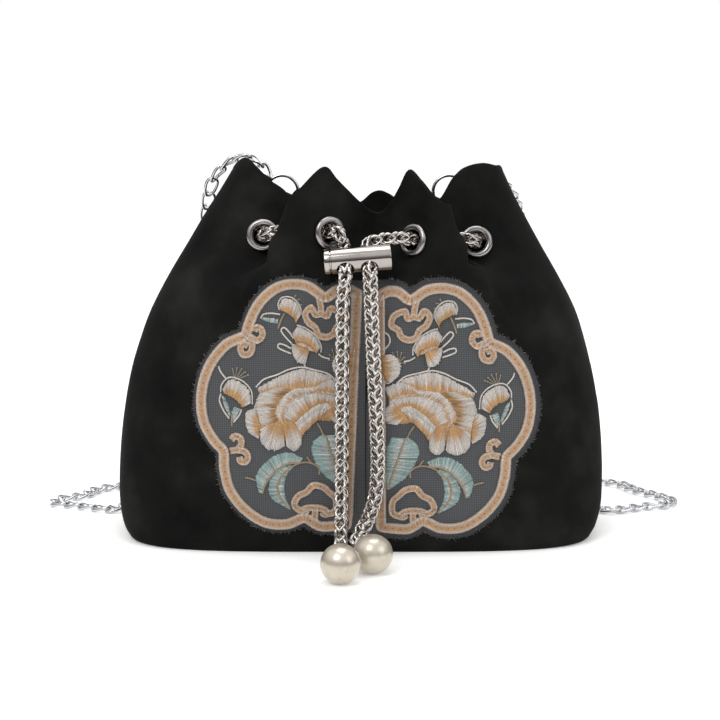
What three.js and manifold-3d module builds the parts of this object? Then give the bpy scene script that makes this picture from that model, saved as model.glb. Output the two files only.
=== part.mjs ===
import * as THREE from 'three';
import { mergeVertices } from 'three/addons/utils/BufferGeometryUtils.js';
import Module from 'manifold-3d';

// A drawstring bucket bag in millimetres, +Z up. The front faces -Y, the bag stands on z = 0 and the
// origin is the centre of its flat base. The cloth is one surface, given by the share u of the way round
// it, from the left side over the front to the right side and back, and by the height above the floor.

// Bag
const BAG_WIDTH = 222.6;
const BAG_DEPTH = 115;
const BAG_HEIGHT = 172;
const WALL = 2.2;
const FLOOR_WALL = 2.6;
const BODY_COLUMNS = 38;

// Clearance between pieces that touch
const GAP = 0.3;

// Eyelets
const EYELET_HEIGHT = 0.8023 * BAG_HEIGHT;
const EYELET_BORE_R = 4.3;
const EYELET_TUBE_WALL = 0.6;
const EYELET_R = 7.5;
const EYELET_RIM_HEIGHT = 1.4;
const EYELET_BACK_R = 6.9;
const EYELET_BACK_THICKNESS = 0.8;
const EYELET_SIDES = 10;

// Drawstring chain and its lock
const CHAIN_R = 2.6;
const CHAIN_SIDES = 8;
const CHAIN_STEPS = 74;
const LOCK_LENGTH = 29;
const LOCK_R = 5.6;
const LOCK_HOLE_R = 3.35;
const LOCK_HOLE_SPACING = 10.3;
const LOCK_HOLE_SHIFT = -0.4;
const LOCK_RISE = 4.5;
const LOCK_ROLL = 40;
const LOCK_GROOVE_DEPTH = 0.6;
const LOCK_GROOVE_WIDTH = 0.9;
const LOCK_CAP = 3.2;
const LOCK_BEVEL = 0.5;
const LOCK_SIDES = 12;
const LOCK_PLACE = { x: -0.0081, y: -1.0174, z: 0.7593 };

// Pearls
const PEARL_R = 8.5;
const PEARL_SIDES = 12;
const PEG_R = 0.9;
const PEG_LENGTH = 6;
const PEG_SIDES = 6;

// Shoulder strap
const STRAP_R = 2.7;
const STRAP_SIDES = 8;
const STRAP_STEPS = 66;
const STRAP_END_ACROSS = 6;
const STRAP_END_BACK = 1.2;
const STRAP_END_RISE = 1.1;
const RING_R = 7.3;
const RING_WIRE_R = 0.75;
const RING_SIDES = 16;
const RING_WIRE_SIDES = 5;
const RING_RISE = 18;
const RING_HEIGHT = EYELET_HEIGHT + RING_RISE;
const TAB_THICKNESS = 1.6;
const TAB_HEIGHT = 6;
const TAB_EYE_WALL = 1.3;
const TAB_EYE_SIDES = 12;

// Embroidered patches
const PATCH_WIDTH = 76;
const PATCH_HEIGHT = 0.6512 * BAG_HEIGHT;
const PATCH_BASE = 0.061 * BAG_HEIGHT;
const PATCH_THICKNESS = 0.7;
const PATCH_MARGIN = 3.2;
const BORDER_WIDTH = 4.8;
const BORDER_THICKNESS = 1.1;

// Levels of the bag, shares of its height and of half its width and depth. Lean moves the section to the
// right, and square is the power of the rounded rectangle that the unpleated cloth follows.
const SECTIONS = [
  { height: 0.0, width: 0.943, depth: 0.905, lean: 0.0, square: 4.2 },
  { height: 0.03, width: 0.973, depth: 0.95, lean: 0.0, square: 3.9 },
  { height: 0.075, width: 0.993, depth: 0.975, lean: 0.002, square: 3.5 },
  { height: 0.12, width: 1.0, depth: 0.99, lean: 0.003, square: 3.2 },
  { height: 0.2, width: 0.998, depth: 1.0, lean: 0.005, square: 3.0 },
  { height: 0.32, width: 0.982, depth: 1.0, lean: 0.006, square: 2.9 },
  { height: 0.44, width: 0.95, depth: 0.99, lean: 0.007, square: 2.8 },
  { height: 0.535, width: 0.908, depth: 0.978, lean: 0.009, square: 2.7 },
  { height: 0.6, width: 0.871, depth: 0.968, lean: 0.01, square: 2.6 },
  { height: 0.684, width: 0.804, depth: 0.962, lean: 0.012, square: 2.5 },
  { height: 0.773, width: 0.723, depth: 0.957, lean: 0.015, square: 2.5 },
  { height: 0.858, width: 0.647, depth: 0.92, lean: 0.018, square: 2.5 },
  { height: 0.913, width: 0.597, depth: 0.88, lean: 0.024, square: 2.5 },
  { height: 1.0, width: 0.525, depth: 0.82, lean: 0.034, square: 2.5 },
];

// Heights of the rows of the cloth's mesh up to the neck; the last row follows the rim
const ROWS = [0, 0.012, 0.045, 0.11, 0.2, 0.31, 0.42, 0.52, 0.605, 0.67, 0.735, 0.8, 0.84];

// First row whose columns follow the pleats
const NECK_ROW = 9;

// Heights between which the pleats grow from nothing to their full depth
const PLEATS_START = 0.66;
const PLEATS_FULL = 0.825;

// Pleats at the eyelets, from the left side over the front to the right side: x and y are shares of half
// the width and depth there, rim and back_rim the rim's height in front and behind and lift the eyelet's
// rise above its level, as shares of the bag's height. The back mirrors the front.
const PLEATS = [
  { fold: 'left side', x: -1.0, y: 0.0, rim: 0.975, back_rim: 0.975 },
  { fold: 'left petal', x: -0.955, y: -0.24, rim: 1.0, back_rim: 0.955 },
  { fold: 'left petal', x: -0.83, y: -0.42, rim: 0.98, back_rim: 0.93 },
  { fold: 'left seat', x: -0.67, y: -0.51, rim: 0.945, back_rim: 0.915 },
  { fold: 'left eyelet', x: -0.565, y: -0.518, rim: 0.925, back_rim: 0.9, eyelet: 'left_outer', lift: 0.0017 },
  { fold: 'left seat', x: -0.46, y: -0.51, rim: 0.896, back_rim: 0.885 },
  { fold: 'left valley', x: -0.33, y: -0.495, rim: 0.865, back_rim: 0.87 },
  { fold: 'left turn', x: -0.262, y: -0.535, rim: 0.853, back_rim: 0.86 },
  { fold: 'left flank', x: -0.33, y: -0.63, rim: 0.86, back_rim: 0.87 },
  { fold: 'left flank', x: -0.405, y: -0.745, rim: 0.872, back_rim: 0.885, eyelet: 'left_fold', lift: 0.0087 },
  { fold: 'left flank', x: -0.475, y: -0.86, rim: 0.885, back_rim: 0.9 },
  { fold: 'left edge', x: -0.5, y: -0.94, rim: 0.9, back_rim: 0.885 },
  { fold: 'left crest', x: -0.445, y: -1.0, rim: 0.935, back_rim: 0.9 },
  { fold: 'left crest', x: -0.36, y: -0.995, rim: 0.975, back_rim: 0.93 },
  { fold: 'left seat', x: -0.29, y: -0.945, rim: 0.986, back_rim: 0.935 },
  { fold: 'left eyelet', x: -0.2, y: -0.875, rim: 0.955, back_rim: 0.925, eyelet: 'left_inner', lift: 0.0174 },
  { fold: 'left seat', x: -0.11, y: -0.8, rim: 0.925, back_rim: 0.89 },
  { fold: 'middle', x: -0.02, y: -0.68, rim: 0.893, back_rim: 0.865 },
  { fold: 'middle valley', x: 0.088, y: -0.525, rim: 0.864, back_rim: 0.9 },
  { fold: 'middle', x: 0.145, y: -0.565, rim: 0.886, back_rim: 0.892 },
  { fold: 'right seat', x: 0.212, y: -0.68, rim: 0.93, back_rim: 0.875 },
  { fold: 'right eyelet', x: 0.284, y: -0.782, rim: 0.977, back_rim: 0.9, eyelet: 'right_inner', lift: -0.0035 },
  { fold: 'right seat', x: 0.356, y: -0.884, rim: 0.953, back_rim: 0.915 },
  { fold: 'right crest', x: 0.43, y: -0.982, rim: 0.916, back_rim: 0.89 },
  { fold: 'right crest', x: 0.5, y: -0.985, rim: 0.897, back_rim: 0.872 },
  { fold: 'right edge', x: 0.54, y: -0.91, rim: 0.892, back_rim: 0.868 },
  { fold: 'right flank', x: 0.505, y: -0.82, rim: 0.885, back_rim: 0.87 },
  { fold: 'right flank', x: 0.425, y: -0.7, rim: 0.875, back_rim: 0.87, eyelet: 'right_fold', lift: -0.0087 },
  { fold: 'right flank', x: 0.35, y: -0.59, rim: 0.865, back_rim: 0.87 },
  { fold: 'right turn', x: 0.3, y: -0.51, rim: 0.862, back_rim: 0.86 },
  { fold: 'right valley', x: 0.37, y: -0.48, rim: 0.868, back_rim: 0.865 },
  { fold: 'right seat', x: 0.485, y: -0.505, rim: 0.9, back_rim: 0.87 },
  { fold: 'right eyelet', x: 0.59, y: -0.518, rim: 0.948, back_rim: 0.875, eyelet: 'right_outer', lift: -0.0151 },
  { fold: 'right seat', x: 0.695, y: -0.51, rim: 0.976, back_rim: 0.88 },
  { fold: 'right petal', x: 0.85, y: -0.42, rim: 0.988, back_rim: 0.885 },
  { fold: 'right petal', x: 0.96, y: -0.24, rim: 0.98, back_rim: 0.9 },
  { fold: 'right side', x: 1.0, y: 0.0, rim: 0.97, back_rim: 0.97 },
];

// How the drawstring goes through the eyelets of one half of the front, from the middle outwards. Out is
// the distance in front of the cloth and along the distance along it to the viewer's right, in radii of
// the eyelet.
const LEFT_WEAVE = [
  { eyelet: 'left_inner', out: 0.8, along: 0.16 },
  { eyelet: 'left_inner', out: 0, along: 0 },
  { eyelet: 'left_inner', out: -0.667, along: -0.053 },
  { eyelet: 'left_fold', out: -0.733, along: -0.107 },
  { eyelet: 'left_fold', out: 0, along: 0 },
  { eyelet: 'left_fold', out: 0.667, along: -0.08 },
  { eyelet: 'left_outer', out: 0.8, along: 0.347 },
  { eyelet: 'left_outer', out: 0, along: 0 },
  { eyelet: 'left_outer', out: -0.667, along: -0.133 },
];
const RIGHT_WEAVE = [
  { eyelet: 'right_inner', out: 0.8, along: -0.16 },
  { eyelet: 'right_inner', out: 0, along: 0 },
  { eyelet: 'right_inner', out: -0.533, along: -0.04 },
  { eyelet: 'right_fold', out: -0.533, along: -0.12 },
  { eyelet: 'right_fold', out: 0, along: 0 },
  { eyelet: 'right_fold', out: 0.667, along: -0.08 },
  { eyelet: 'right_outer', out: 0.8, along: -0.373 },
  { eyelet: 'right_outer', out: 0, along: 0 },
  { eyelet: 'right_outer', out: -0.667, along: 0.133 },
];

// Places beside the bag: x and y are shares of half its width and depth, z is a share of its height, and
// z 0 means lying on the floor.

// The hanging strands, from the lock down to the pearls
const LEFT_STRAND = [
  { x: -0.0647, y: -1.1235, z: 0.6744 }, { x: -0.0683, y: -1.1165, z: 0.5233 },
  { x: -0.071, y: -1.1165, z: 0.3372 }, { x: -0.0719, y: -1.1235, z: 0.186 },
  { x: -0.0728, y: -1.1913, z: 0.0988 }, { x: -0.0728, y: -1.3478, z: 0.0494 },
  { x: -0.0728, y: -1.5304, z: 0.0407 },
];
const RIGHT_STRAND = [
  { x: 0.0413, y: -1.1235, z: 0.6744 }, { x: 0.0503, y: -1.1165, z: 0.5349 },
  { x: 0.0647, y: -1.1165, z: 0.3372 }, { x: 0.0683, y: -1.12, z: 0.2326 },
  { x: 0.0575, y: -1.1304, z: 0.157 }, { x: 0.0323, y: -1.1739, z: 0.1105 },
  { x: 0.0054, y: -1.2348, z: 0.0814 }, { x: -0.0108, y: -1.313, z: 0.064 },
];
const PEARL_PLACES = {
  left: { x: -0.0728, y: -1.8313, z: 0 },
  right: { x: 0.0494, y: -1.5478, z: 0 },
};
const PEARL_DRILLS = {
  left: new THREE.Vector3(0, 0.99, 0.02),
  right: new THREE.Vector3(-0.66, 0.73, 0.16),
};

// The strap, from the left ring over the rim, down the back, round the left loop, along the back of the
// base, round the right loop and up to the right ring
const STRAP_ROUTE = [
  { x: -0.4223, y: 0.087, z: 0.9855 }, { x: -0.4897, y: 0.1652, z: 0.9971 },
  { x: -0.5571, y: 0.2261, z: 0.9738 }, { x: -0.611, y: 0.2957, z: 0.9331 },
  { x: -0.6379, y: 0.4, z: 0.8721 }, { x: -0.6559, y: 0.6087, z: 0.7733 },
  { x: -0.6559, y: 0.8174, z: 0.6628 }, { x: -0.6379, y: 0.9565, z: 0.5465 },
  { x: -0.6199, y: 1.0435, z: 0.3605 }, { x: -0.6199, y: 1.0609, z: 0.1744 },
  { x: -0.6289, y: 1.0783, z: 0.0698 }, { x: -0.6559, y: 1.1478, z: 0.0291 },
  { x: -0.7188, y: 1.2348, z: 0 }, { x: -0.8535, y: 1.3391, z: 0 },
  { x: -1.0602, y: 1.3565, z: 0 }, { x: -1.177, y: 1.2174, z: 0 },
  { x: -1.2309, y: 0.9739, z: 0 }, { x: -1.3208, y: 0.8174, z: 0 },
  { x: -1.3297, y: 0.6609, z: 0 }, { x: -1.2489, y: 0.5913, z: 0 },
  { x: -1.159, y: 0.5043, z: 0 }, { x: -1.0782, y: 0.4348, z: 0 },
  { x: -1.0153, y: 0.5565, z: 0 }, { x: -0.9434, y: 0.7478, z: 0 },
  { x: -0.8446, y: 0.8696, z: 0 }, { x: -0.6199, y: 0.9548, z: 0 },
  { x: -0.2695, y: 0.9913, z: 0 }, { x: 0.2695, y: 0.9913, z: 0 },
  { x: 0.6199, y: 0.9548, z: 0 }, { x: 0.8446, y: 0.8696, z: 0 },
  { x: 0.9434, y: 0.7304, z: 0 }, { x: 1.0063, y: 0.5391, z: 0 },
  { x: 1.0782, y: 0.4, z: 0 }, { x: 1.159, y: 0.4522, z: 0 },
  { x: 1.2399, y: 0.5391, z: 0 }, { x: 1.3297, y: 0.5913, z: 0 },
  { x: 1.3657, y: 0.7652, z: 0 }, { x: 1.3028, y: 1.0087, z: 0 },
  { x: 1.2399, y: 1.1826, z: 0 }, { x: 1.186, y: 1.4261, z: 0 },
  { x: 1.0422, y: 1.5826, z: 0 }, { x: 0.8266, y: 1.4435, z: 0 },
  { x: 0.7098, y: 1.2696, z: 0 }, { x: 0.6559, y: 1.1652, z: 0.0291 },
  { x: 0.6289, y: 1.0783, z: 0.0698 }, { x: 0.6199, y: 1.0609, z: 0.1744 },
  { x: 0.6289, y: 1.0435, z: 0.3605 }, { x: 0.6559, y: 0.9565, z: 0.5465 },
  { x: 0.6828, y: 0.8174, z: 0.6628 }, { x: 0.6828, y: 0.6087, z: 0.7733 },
  { x: 0.6559, y: 0.4174, z: 0.8605 }, { x: 0.602, y: 0.2783, z: 0.9186 },
  { x: 0.5301, y: 0.1913, z: 0.9506 }, { x: 0.4672, y: 0.1043, z: 0.964 },
];
const RING_PLACES = { left: -0.3199, right: 0.3657 };

// Half medallion: turning points of the border's outer edge from the top of the middle to its bottom, as
// shares of the patch's width from the middle and of its height. Each row is a lobe between two notches.
const LOBES = [
  [[0.02, 0.95], [0.1, 0.975], [0.17, 0.972], [0.23, 0.945]],
  [[0.23, 0.945], [0.32, 0.985], [0.43, 0.995], [0.53, 0.975], [0.635, 0.91], [0.695, 0.83], [0.715, 0.785]],
  [[0.715, 0.785], [0.82, 0.75], [0.93, 0.655], [0.98, 0.53], [0.962, 0.42], [0.9, 0.345], [0.85, 0.31]],
  [[0.85, 0.31], [0.845, 0.235], [0.81, 0.15], [0.715, 0.068], [0.59, 0.015], [0.45, 0.008], [0.355, 0.035]],
  [[0.355, 0.035], [0.28, 0.002], [0.19, 0.0], [0.09, 0.012], [0.075, 0.06]],
];
const PATCH_MIDDLE = 2.6;
const LOBE_EXTRA_POINTS = 2;
const PATCH_SIDES = {
  left: { side: -1, drop: 0, tilt: 0 },
  right: { side: 1, drop: 2, tilt: -2 },
};

// Solids

const MERGE_DISTANCE = 1e-4;
const wasm = await Module();
wasm.setup();

// A closed geometry as a solid, and a solid as a geometry
function solid(geometry) {
  const bare = geometry.clone();
  bare.deleteAttribute('normal');
  bare.deleteAttribute('uv');
  const merged = mergeVertices(bare, MERGE_DISTANCE);
  return new wasm.Manifold(new wasm.Mesh({
    numProp: 3,
    vertProperties: new Float32Array(merged.attributes.position.array),
    triVerts: new Uint32Array(merged.index.array),
  }));
}

function geometryOf(body) {
  const mesh = body.getMesh();
  const geometry = new THREE.BufferGeometry();
  geometry.setAttribute('position', new THREE.BufferAttribute(new Float32Array(mesh.vertProperties), 3));
  geometry.setIndex(new THREE.BufferAttribute(new Uint32Array(mesh.triVerts), 1));
  geometry.computeVertexNormals();
  return geometry;
}

// Smooth curve through the rows of a table, read at one value of its key column
function readTable(rows, key, column, at) {
  const last = rows.length - 1;
  const place = THREE.MathUtils.clamp(at, rows[0][key], rows[last][key]);
  let i = 0;
  while (i < last - 1 && rows[i + 1][key] < place) {
    i += 1;
  }
  const slope = (j) => {
    const low = rows[Math.max(j - 1, 0)];
    const high = rows[Math.min(j + 1, last)];
    return (high[column] - low[column]) / (high[key] - low[key]);
  };
  const span = rows[i + 1][key] - rows[i][key];
  const t = (place - rows[i][key]) / span;
  return rows[i][column] * (2 * t ** 3 - 3 * t ** 2 + 1) + rows[i + 1][column] * (3 * t ** 2 - 2 * t ** 3)
    + span * (slope(i) * (t ** 3 - 2 * t ** 2 + t) + slope(i + 1) * (t ** 3 - t ** 2));
}

function section(height, column) {
  return readTable(SECTIONS, 'height', column, height / BAG_HEIGHT);
}

// Whole turn of pleats: the front from the table, the back its mirror
const FRONT_PLEATS = PLEATS.map((row) => ({ ...row, name: row.eyelet && `front_${row.eyelet}` }));
const BACK_PLEATS = PLEATS.slice(1, -1).reverse().map((row) => ({
  ...row, y: -row.y, rim: row.back_rim, name: row.eyelet && `back_${row.eyelet}`,
}));
const TURN = [...FRONT_PLEATS, ...BACK_PLEATS];

const NECK_HALF_WIDTH = BAG_WIDTH / 2 * section(EYELET_HEIGHT, 'width');
const NECK_HALF_DEPTH = BAG_DEPTH / 2 * section(EYELET_HEIGHT, 'depth');

const pleatPoints = TURN.map(({ x, y }) => new THREE.Vector3(x * NECK_HALF_WIDTH, y * NECK_HALF_DEPTH, 0));
const pleatCurve = new THREE.CatmullRomCurve3(pleatPoints, true, 'centripetal');
const STEPS_PER_ROW = 24;
pleatCurve.arcLengthDivisions = TURN.length * STEPS_PER_ROW;

// Share of the way round the cloth at each row of the turn
const lengths = pleatCurve.getLengths();
TURN.forEach((row, i) => {
  row.u = lengths[i * STEPS_PER_ROW] / lengths[lengths.length - 1];
});
const RIM_TABLE = [...TURN, { ...TURN[0], u: 1 }];

// Unpleated cloth: a rounded rectangle, walked by its length
const PLAN_POINTS = 64;
const fullPlans = new Map();

function fullPlan(height) {
  if (!fullPlans.has(height)) {
    const power = 2 / section(height, 'square');
    const halfWidth = BAG_WIDTH / 2 * section(height, 'width');
    const halfDepth = BAG_DEPTH / 2 * section(height, 'depth');
    const points = [];
    for (let i = 0; i < PLAN_POINTS; i += 1) {
      const angle = Math.PI + 2 * Math.PI * i / PLAN_POINTS;
      const across = Math.sign(Math.cos(angle)) * Math.abs(Math.cos(angle)) ** power;
      const deep = Math.sign(Math.sin(angle)) * Math.abs(Math.sin(angle)) ** power;
      points.push(new THREE.Vector3(halfWidth * across, halfDepth * deep, 0));
    }
    fullPlans.set(height, new THREE.CatmullRomCurve3(points, true, 'centripetal'));
  }
  return fullPlans.get(height);
}

// Point of the cloth's outer face
function planPoint(u, height) {
  const turn = (u + 1) % 1;
  const full = fullPlan(height).getPointAt(turn);
  const pleated = pleatCurve.getPointAt(turn);
  pleated.x *= BAG_WIDTH / 2 * section(height, 'width') / NECK_HALF_WIDTH;
  pleated.y *= BAG_DEPTH / 2 * section(height, 'depth') / NECK_HALF_DEPTH;
  const pleating = THREE.MathUtils.smoothstep(height / BAG_HEIGHT, PLEATS_START, PLEATS_FULL);
  const point = full.lerp(pleated, pleating);
  point.x += BAG_WIDTH / 2 * section(height, 'lean');
  point.z = height;
  return point;
}

// The same point moved out along the plan's normal by an offset
const NORMAL_STEP = 0.002;

function clothPoint(u, height, offset = 0) {
  const ahead = planPoint(u + NORMAL_STEP, height);
  const behind = planPoint(u - NORMAL_STEP, height);
  const out = new THREE.Vector3(ahead.y - behind.y, behind.x - ahead.x, 0).normalize();
  return planPoint(u, height).addScaledVector(out, offset);
}

function rimHeight(u) {
  return BAG_HEIGHT * readTable(RIM_TABLE, 'u', 'rim', u);
}

function rowHeight(row, u) {
  return row < ROWS.length ? BAG_HEIGHT * ROWS[row] : rimHeight(u);
}

// Places of the mesh's columns in one row: an even step below the pleats, the table's rows from there up.
// A span other than the whole turn gets its own ends.
function columnsOf(row, span) {
  const even = Array.from({ length: BODY_COLUMNS }, (_, i) => i / BODY_COLUMNS);
  const all = row < NECK_ROW ? even : TURN.map((pleat) => pleat.u);
  if (!span) {
    return [...all, 1];
  }
  return [span[0], ...all.filter((u) => u > span[0] && u < span[1]), span[1]];
}

// Closed solid between two offsets of the cloth, over some rows of its mesh. With no span it goes all the
// way round and is offset along the plan's normal; with a span of the front it is offset straight ahead.
function clothLayer(inner, outer, rows, span) {
  const positions = [];
  const index = [];
  const quad = (a, b, c, d) => index.push(a, b, c, a, c, d);
  const grid = [outer, inner].map((offset) => {
    const lines = [];
    for (let row = rows[0]; row <= rows[1]; row += 1) {
      lines.push(columnsOf(row, span).map((u) => {
        const height = rowHeight(row, u);
        const point = span ? clothPoint(u, height) : clothPoint(u, height, offset);
        if (span) {
          point.y -= offset;
        }
        positions.push(...point.toArray());
        return { u, at: positions.length / 3 - 1 };
      }));
    }
    return lines;
  });
  const stitch = (low, high, flip) => {
    const corner = (a, b, c) => index.push(...(flip ? [a.at, c.at, b.at] : [a.at, b.at, c.at]));
    let i = 0;
    let j = 0;
    while (i < low.length - 1 || j < high.length - 1) {
      const stepLow = j === high.length - 1 || (i < low.length - 1 && low[i + 1].u <= high[j + 1].u);
      if (stepLow) {
        corner(low[i], low[i + 1], high[j]);
        i += 1;
      } else {
        corner(low[i], high[j + 1], high[j]);
        j += 1;
      }
    }
  };
  const [outside, inside] = grid;
  const top = outside.length - 1;
  for (let row = 0; row < top; row += 1) {
    stitch(outside[row], outside[row + 1], false);
    stitch(inside[row], inside[row + 1], true);
    if (span) {
      const end = outside[row].length - 1;
      const above = outside[row + 1].length - 1;
      quad(inside[row][0].at, outside[row][0].at, outside[row + 1][0].at, inside[row + 1][0].at);
      quad(outside[row][end].at, inside[row][end].at, inside[row + 1][above].at, outside[row + 1][above].at);
    }
  }
  stitch(inside[0], outside[0], false);
  stitch(outside[top], inside[top], false);
  const geometry = new THREE.BufferGeometry();
  geometry.setAttribute('position', new THREE.BufferAttribute(new Float32Array(positions), 3));
  geometry.setIndex(index);
  return solid(geometry);
}

// Frame on the cloth at an eyelet: its centre, the cloth's normal and the way along it, and how far the
// cloth under the ring rises and falls from the frame's plane
const SEAT_SAMPLES = 16;

function eyeletFrame(row) {
  const height = EYELET_HEIGHT + row.lift * BAG_HEIGHT;
  const reach = EYELET_R;
  const step = reach / lengths[lengths.length - 1];
  const along = clothPoint(row.u + step, height).sub(clothPoint(row.u - step, height)).normalize();
  const up = clothPoint(row.u, height + reach).sub(clothPoint(row.u, height - reach)).normalize();
  const out = along.clone().cross(up).normalize();
  up.copy(out).cross(along).normalize();
  const matrix = new THREE.Matrix4().makeBasis(along, up, out);
  const centre = clothPoint(row.u, height);
  matrix.setPosition(centre);
  const rises = [0];
  for (let i = 0; i < SEAT_SAMPLES; i += 1) {
    const angle = 2 * Math.PI * i / SEAT_SAMPLES;
    const u = row.u + step * Math.cos(angle);
    rises.push(clothPoint(u, height + reach * Math.sin(angle)).sub(centre).dot(out));
  }
  return { name: row.name, along, up, out, centre, matrix, rise: Math.max(...rises), fall: Math.min(...rises) };
}

const EYELETS = TURN.filter((row) => row.name).map(eyeletFrame);
const eyeletAt = Object.fromEntries(EYELETS.map((frame) => [frame.name, frame]));

function standing(geometry) {
  return geometry.rotateX(Math.PI / 2);
}

// Cylinder from one height to another along Z
function post(radius, low, high, sides) {
  const geometry = standing(new THREE.CylinderGeometry(radius, radius, high - low, sides));
  return geometry.translate(0, 0, (low + high) / 2);
}

function placed(geometry, matrix) {
  return solid(geometry.applyMatrix4(matrix));
}

// Bag body

function makeBody() {
  const outside = clothLayer(-WALL, 0, [0, ROWS.length]);
  const plate = basePlate();
  let body = outside.add(plate);
  const hole = EYELET_BORE_R + EYELET_TUBE_WALL + GAP;
  const reach = 2 * WALL;
  for (const { matrix, rise, fall } of EYELETS) {
    body = body.subtract(placed(post(hole, -reach, reach, EYELET_SIDES), matrix));
    body = body.subtract(placed(post(EYELET_R + GAP, rise, reach, EYELET_SIDES), matrix));
    body = body.subtract(placed(post(EYELET_BACK_R + GAP, -WALL - reach, fall - WALL, EYELET_SIDES), matrix));
  }
  return geometryOf(body);
}

function basePlate() {
  const outline = [];
  for (const u of columnsOf(0).slice(0, -1)) {
    const point = clothPoint(u, 0, -WALL / 2);
    outline.push(new THREE.Vector2(point.x, point.y));
  }
  const plate = new THREE.ExtrudeGeometry(new THREE.Shape(outline), { depth: FLOOR_WALL, bevelEnabled: false });
  return solid(plate);
}

// Eyelets

function makeEyelet({ rise, fall }) {
  const front = rise + GAP;
  const back = fall - WALL - GAP;
  const tube = EYELET_BORE_R + EYELET_TUBE_WALL;
  const profile = [
    [EYELET_BORE_R, back - EYELET_BACK_THICKNESS],
    [EYELET_BACK_R, back - EYELET_BACK_THICKNESS],
    [EYELET_BACK_R, back],
    [tube, back],
    [tube, front],
    [EYELET_R, front],
    [(EYELET_R + EYELET_BORE_R) / 2, front + EYELET_RIM_HEIGHT],
    [EYELET_BORE_R, front],
    [EYELET_BORE_R, back - EYELET_BACK_THICKNESS],
  ].map(([r, h]) => new THREE.Vector2(r, h));
  return geometryOf(solid(standing(new THREE.LatheGeometry(profile, EYELET_SIDES))));
}

// Drawstring, lock and pearls

function tube(points, radius, sides, steps) {
  const path = new THREE.CatmullRomCurve3(points, false, 'centripetal');
  const outline = new THREE.Shape().absarc(0, 0, radius, 0, 2 * Math.PI);
  return new THREE.ExtrudeGeometry(outline, { steps, extrudePath: path, curveSegments: sides / 2 });
}

const besideBag = ({ x, y, z }, radius) => (
  new THREE.Vector3(x * BAG_WIDTH / 2, y * BAG_DEPTH / 2, Math.max(z * BAG_HEIGHT, radius)));

const lockPlace = besideBag(LOCK_PLACE, LOCK_R);
const lockMatrix = new THREE.Matrix4()
  .makeRotationFromEuler(new THREE.Euler(
    THREE.MathUtils.degToRad(LOCK_ROLL), -THREE.MathUtils.degToRad(LOCK_RISE), 0, 'YXZ'))
  .setPosition(lockPlace);

// Centres of the lock's cross holes along its axis
const LOCK_HOLES = [-1, 1].map((side) => LOCK_HOLE_SHIFT + side * LOCK_HOLE_SPACING / 2);

// Stretch on which the chain runs straight through a hole, from its way out in front to its way in behind,
// in radii of the lock
const LOCK_RUN = [1.43, 0.715, 0, -0.715, -1.61];

// Point on the axis of one cross hole; ahead is the distance towards the front
function lockPoint(hole, ahead) {
  return new THREE.Vector3(LOCK_HOLES[hole], -ahead * LOCK_R, 0).applyMatrix4(lockMatrix);
}

function makeLock() {
  const half = LOCK_LENGTH / 2;
  const groove = LOCK_R - LOCK_GROOVE_DEPTH;
  const start = -half + LOCK_CAP - LOCK_GROOVE_WIDTH;
  const profile = [
    [0, -half],
    [LOCK_R - LOCK_BEVEL, -half],
    [LOCK_R, -half + LOCK_BEVEL],
    [LOCK_R, start],
    [groove, start],
    [groove, start + LOCK_GROOVE_WIDTH],
    [LOCK_R, start + LOCK_GROOVE_WIDTH],
    [LOCK_R, half - LOCK_BEVEL],
    [LOCK_R - LOCK_BEVEL, half],
    [0, half],
  ].map(([r, h]) => new THREE.Vector2(r, h));
  let barrel = solid(new THREE.LatheGeometry(profile, LOCK_SIDES).rotateZ(-Math.PI / 2));
  for (const x of LOCK_HOLES) {
    const drill = new THREE.CylinderGeometry(LOCK_HOLE_R, LOCK_HOLE_R, 3 * LOCK_R, LOCK_SIDES);
    barrel = barrel.subtract(solid(drill.translate(x, 0, 0)));
  }
  return geometryOf(barrel);
}

function pearlCentre(side) {
  return besideBag(PEARL_PLACES[side], PEARL_R);
}

function weavePoint({ eyelet, out, along }, side, turn) {
  const frame = eyeletAt[`${side}_${eyelet}`];
  return frame.centre.clone()
    .addScaledVector(frame.out, out * EYELET_R)
    .addScaledVector(frame.along, along * turn * EYELET_R);
}

function drawstringPoints() {
  const point = (place) => besideBag(place, CHAIN_R);
  const end = (side, away) => (
    pearlCentre(side).addScaledVector(PEARL_DRILLS[side].clone().normalize(), PEARL_R + GAP + away));
  return [
    end('left', 0),
    end('left', CHAIN_R),
    ...LEFT_STRAND.map(point).reverse(),
    ...LOCK_RUN.map((ahead) => lockPoint(0, ahead)),
    ...LEFT_WEAVE.map((row) => weavePoint(row, 'front', 1)),
    ...LEFT_WEAVE.map((row) => weavePoint(row, 'back', -1)).reverse(),
    ...RIGHT_WEAVE.map((row) => weavePoint(row, 'back', -1)),
    ...RIGHT_WEAVE.map((row) => weavePoint(row, 'front', 1)).reverse(),
    ...[...LOCK_RUN].reverse().map((ahead) => lockPoint(1, ahead)),
    ...RIGHT_STRAND.map(point),
    end('right', CHAIN_R),
    end('right', 0),
  ];
}

// Drill axis of a pearl as a frame at its centre
function drillMatrix(side) {
  const up = new THREE.Vector3(0, 0, 1);
  const turn = new THREE.Quaternion().setFromUnitVectors(up, PEARL_DRILLS[side].clone().normalize());
  return new THREE.Matrix4().makeRotationFromQuaternion(turn).setPosition(pearlCentre(side));
}

function makeDrawstring() {
  let chain = solid(tube(drawstringPoints(), CHAIN_R, CHAIN_SIDES, CHAIN_STEPS));
  for (const side of Object.keys(PEARL_PLACES)) {
    const peg = post(PEG_R, PEARL_R - PEG_LENGTH, PEARL_R + CHAIN_R, PEG_SIDES);
    chain = chain.add(placed(peg, drillMatrix(side)));
  }
  return geometryOf(chain);
}

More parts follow.
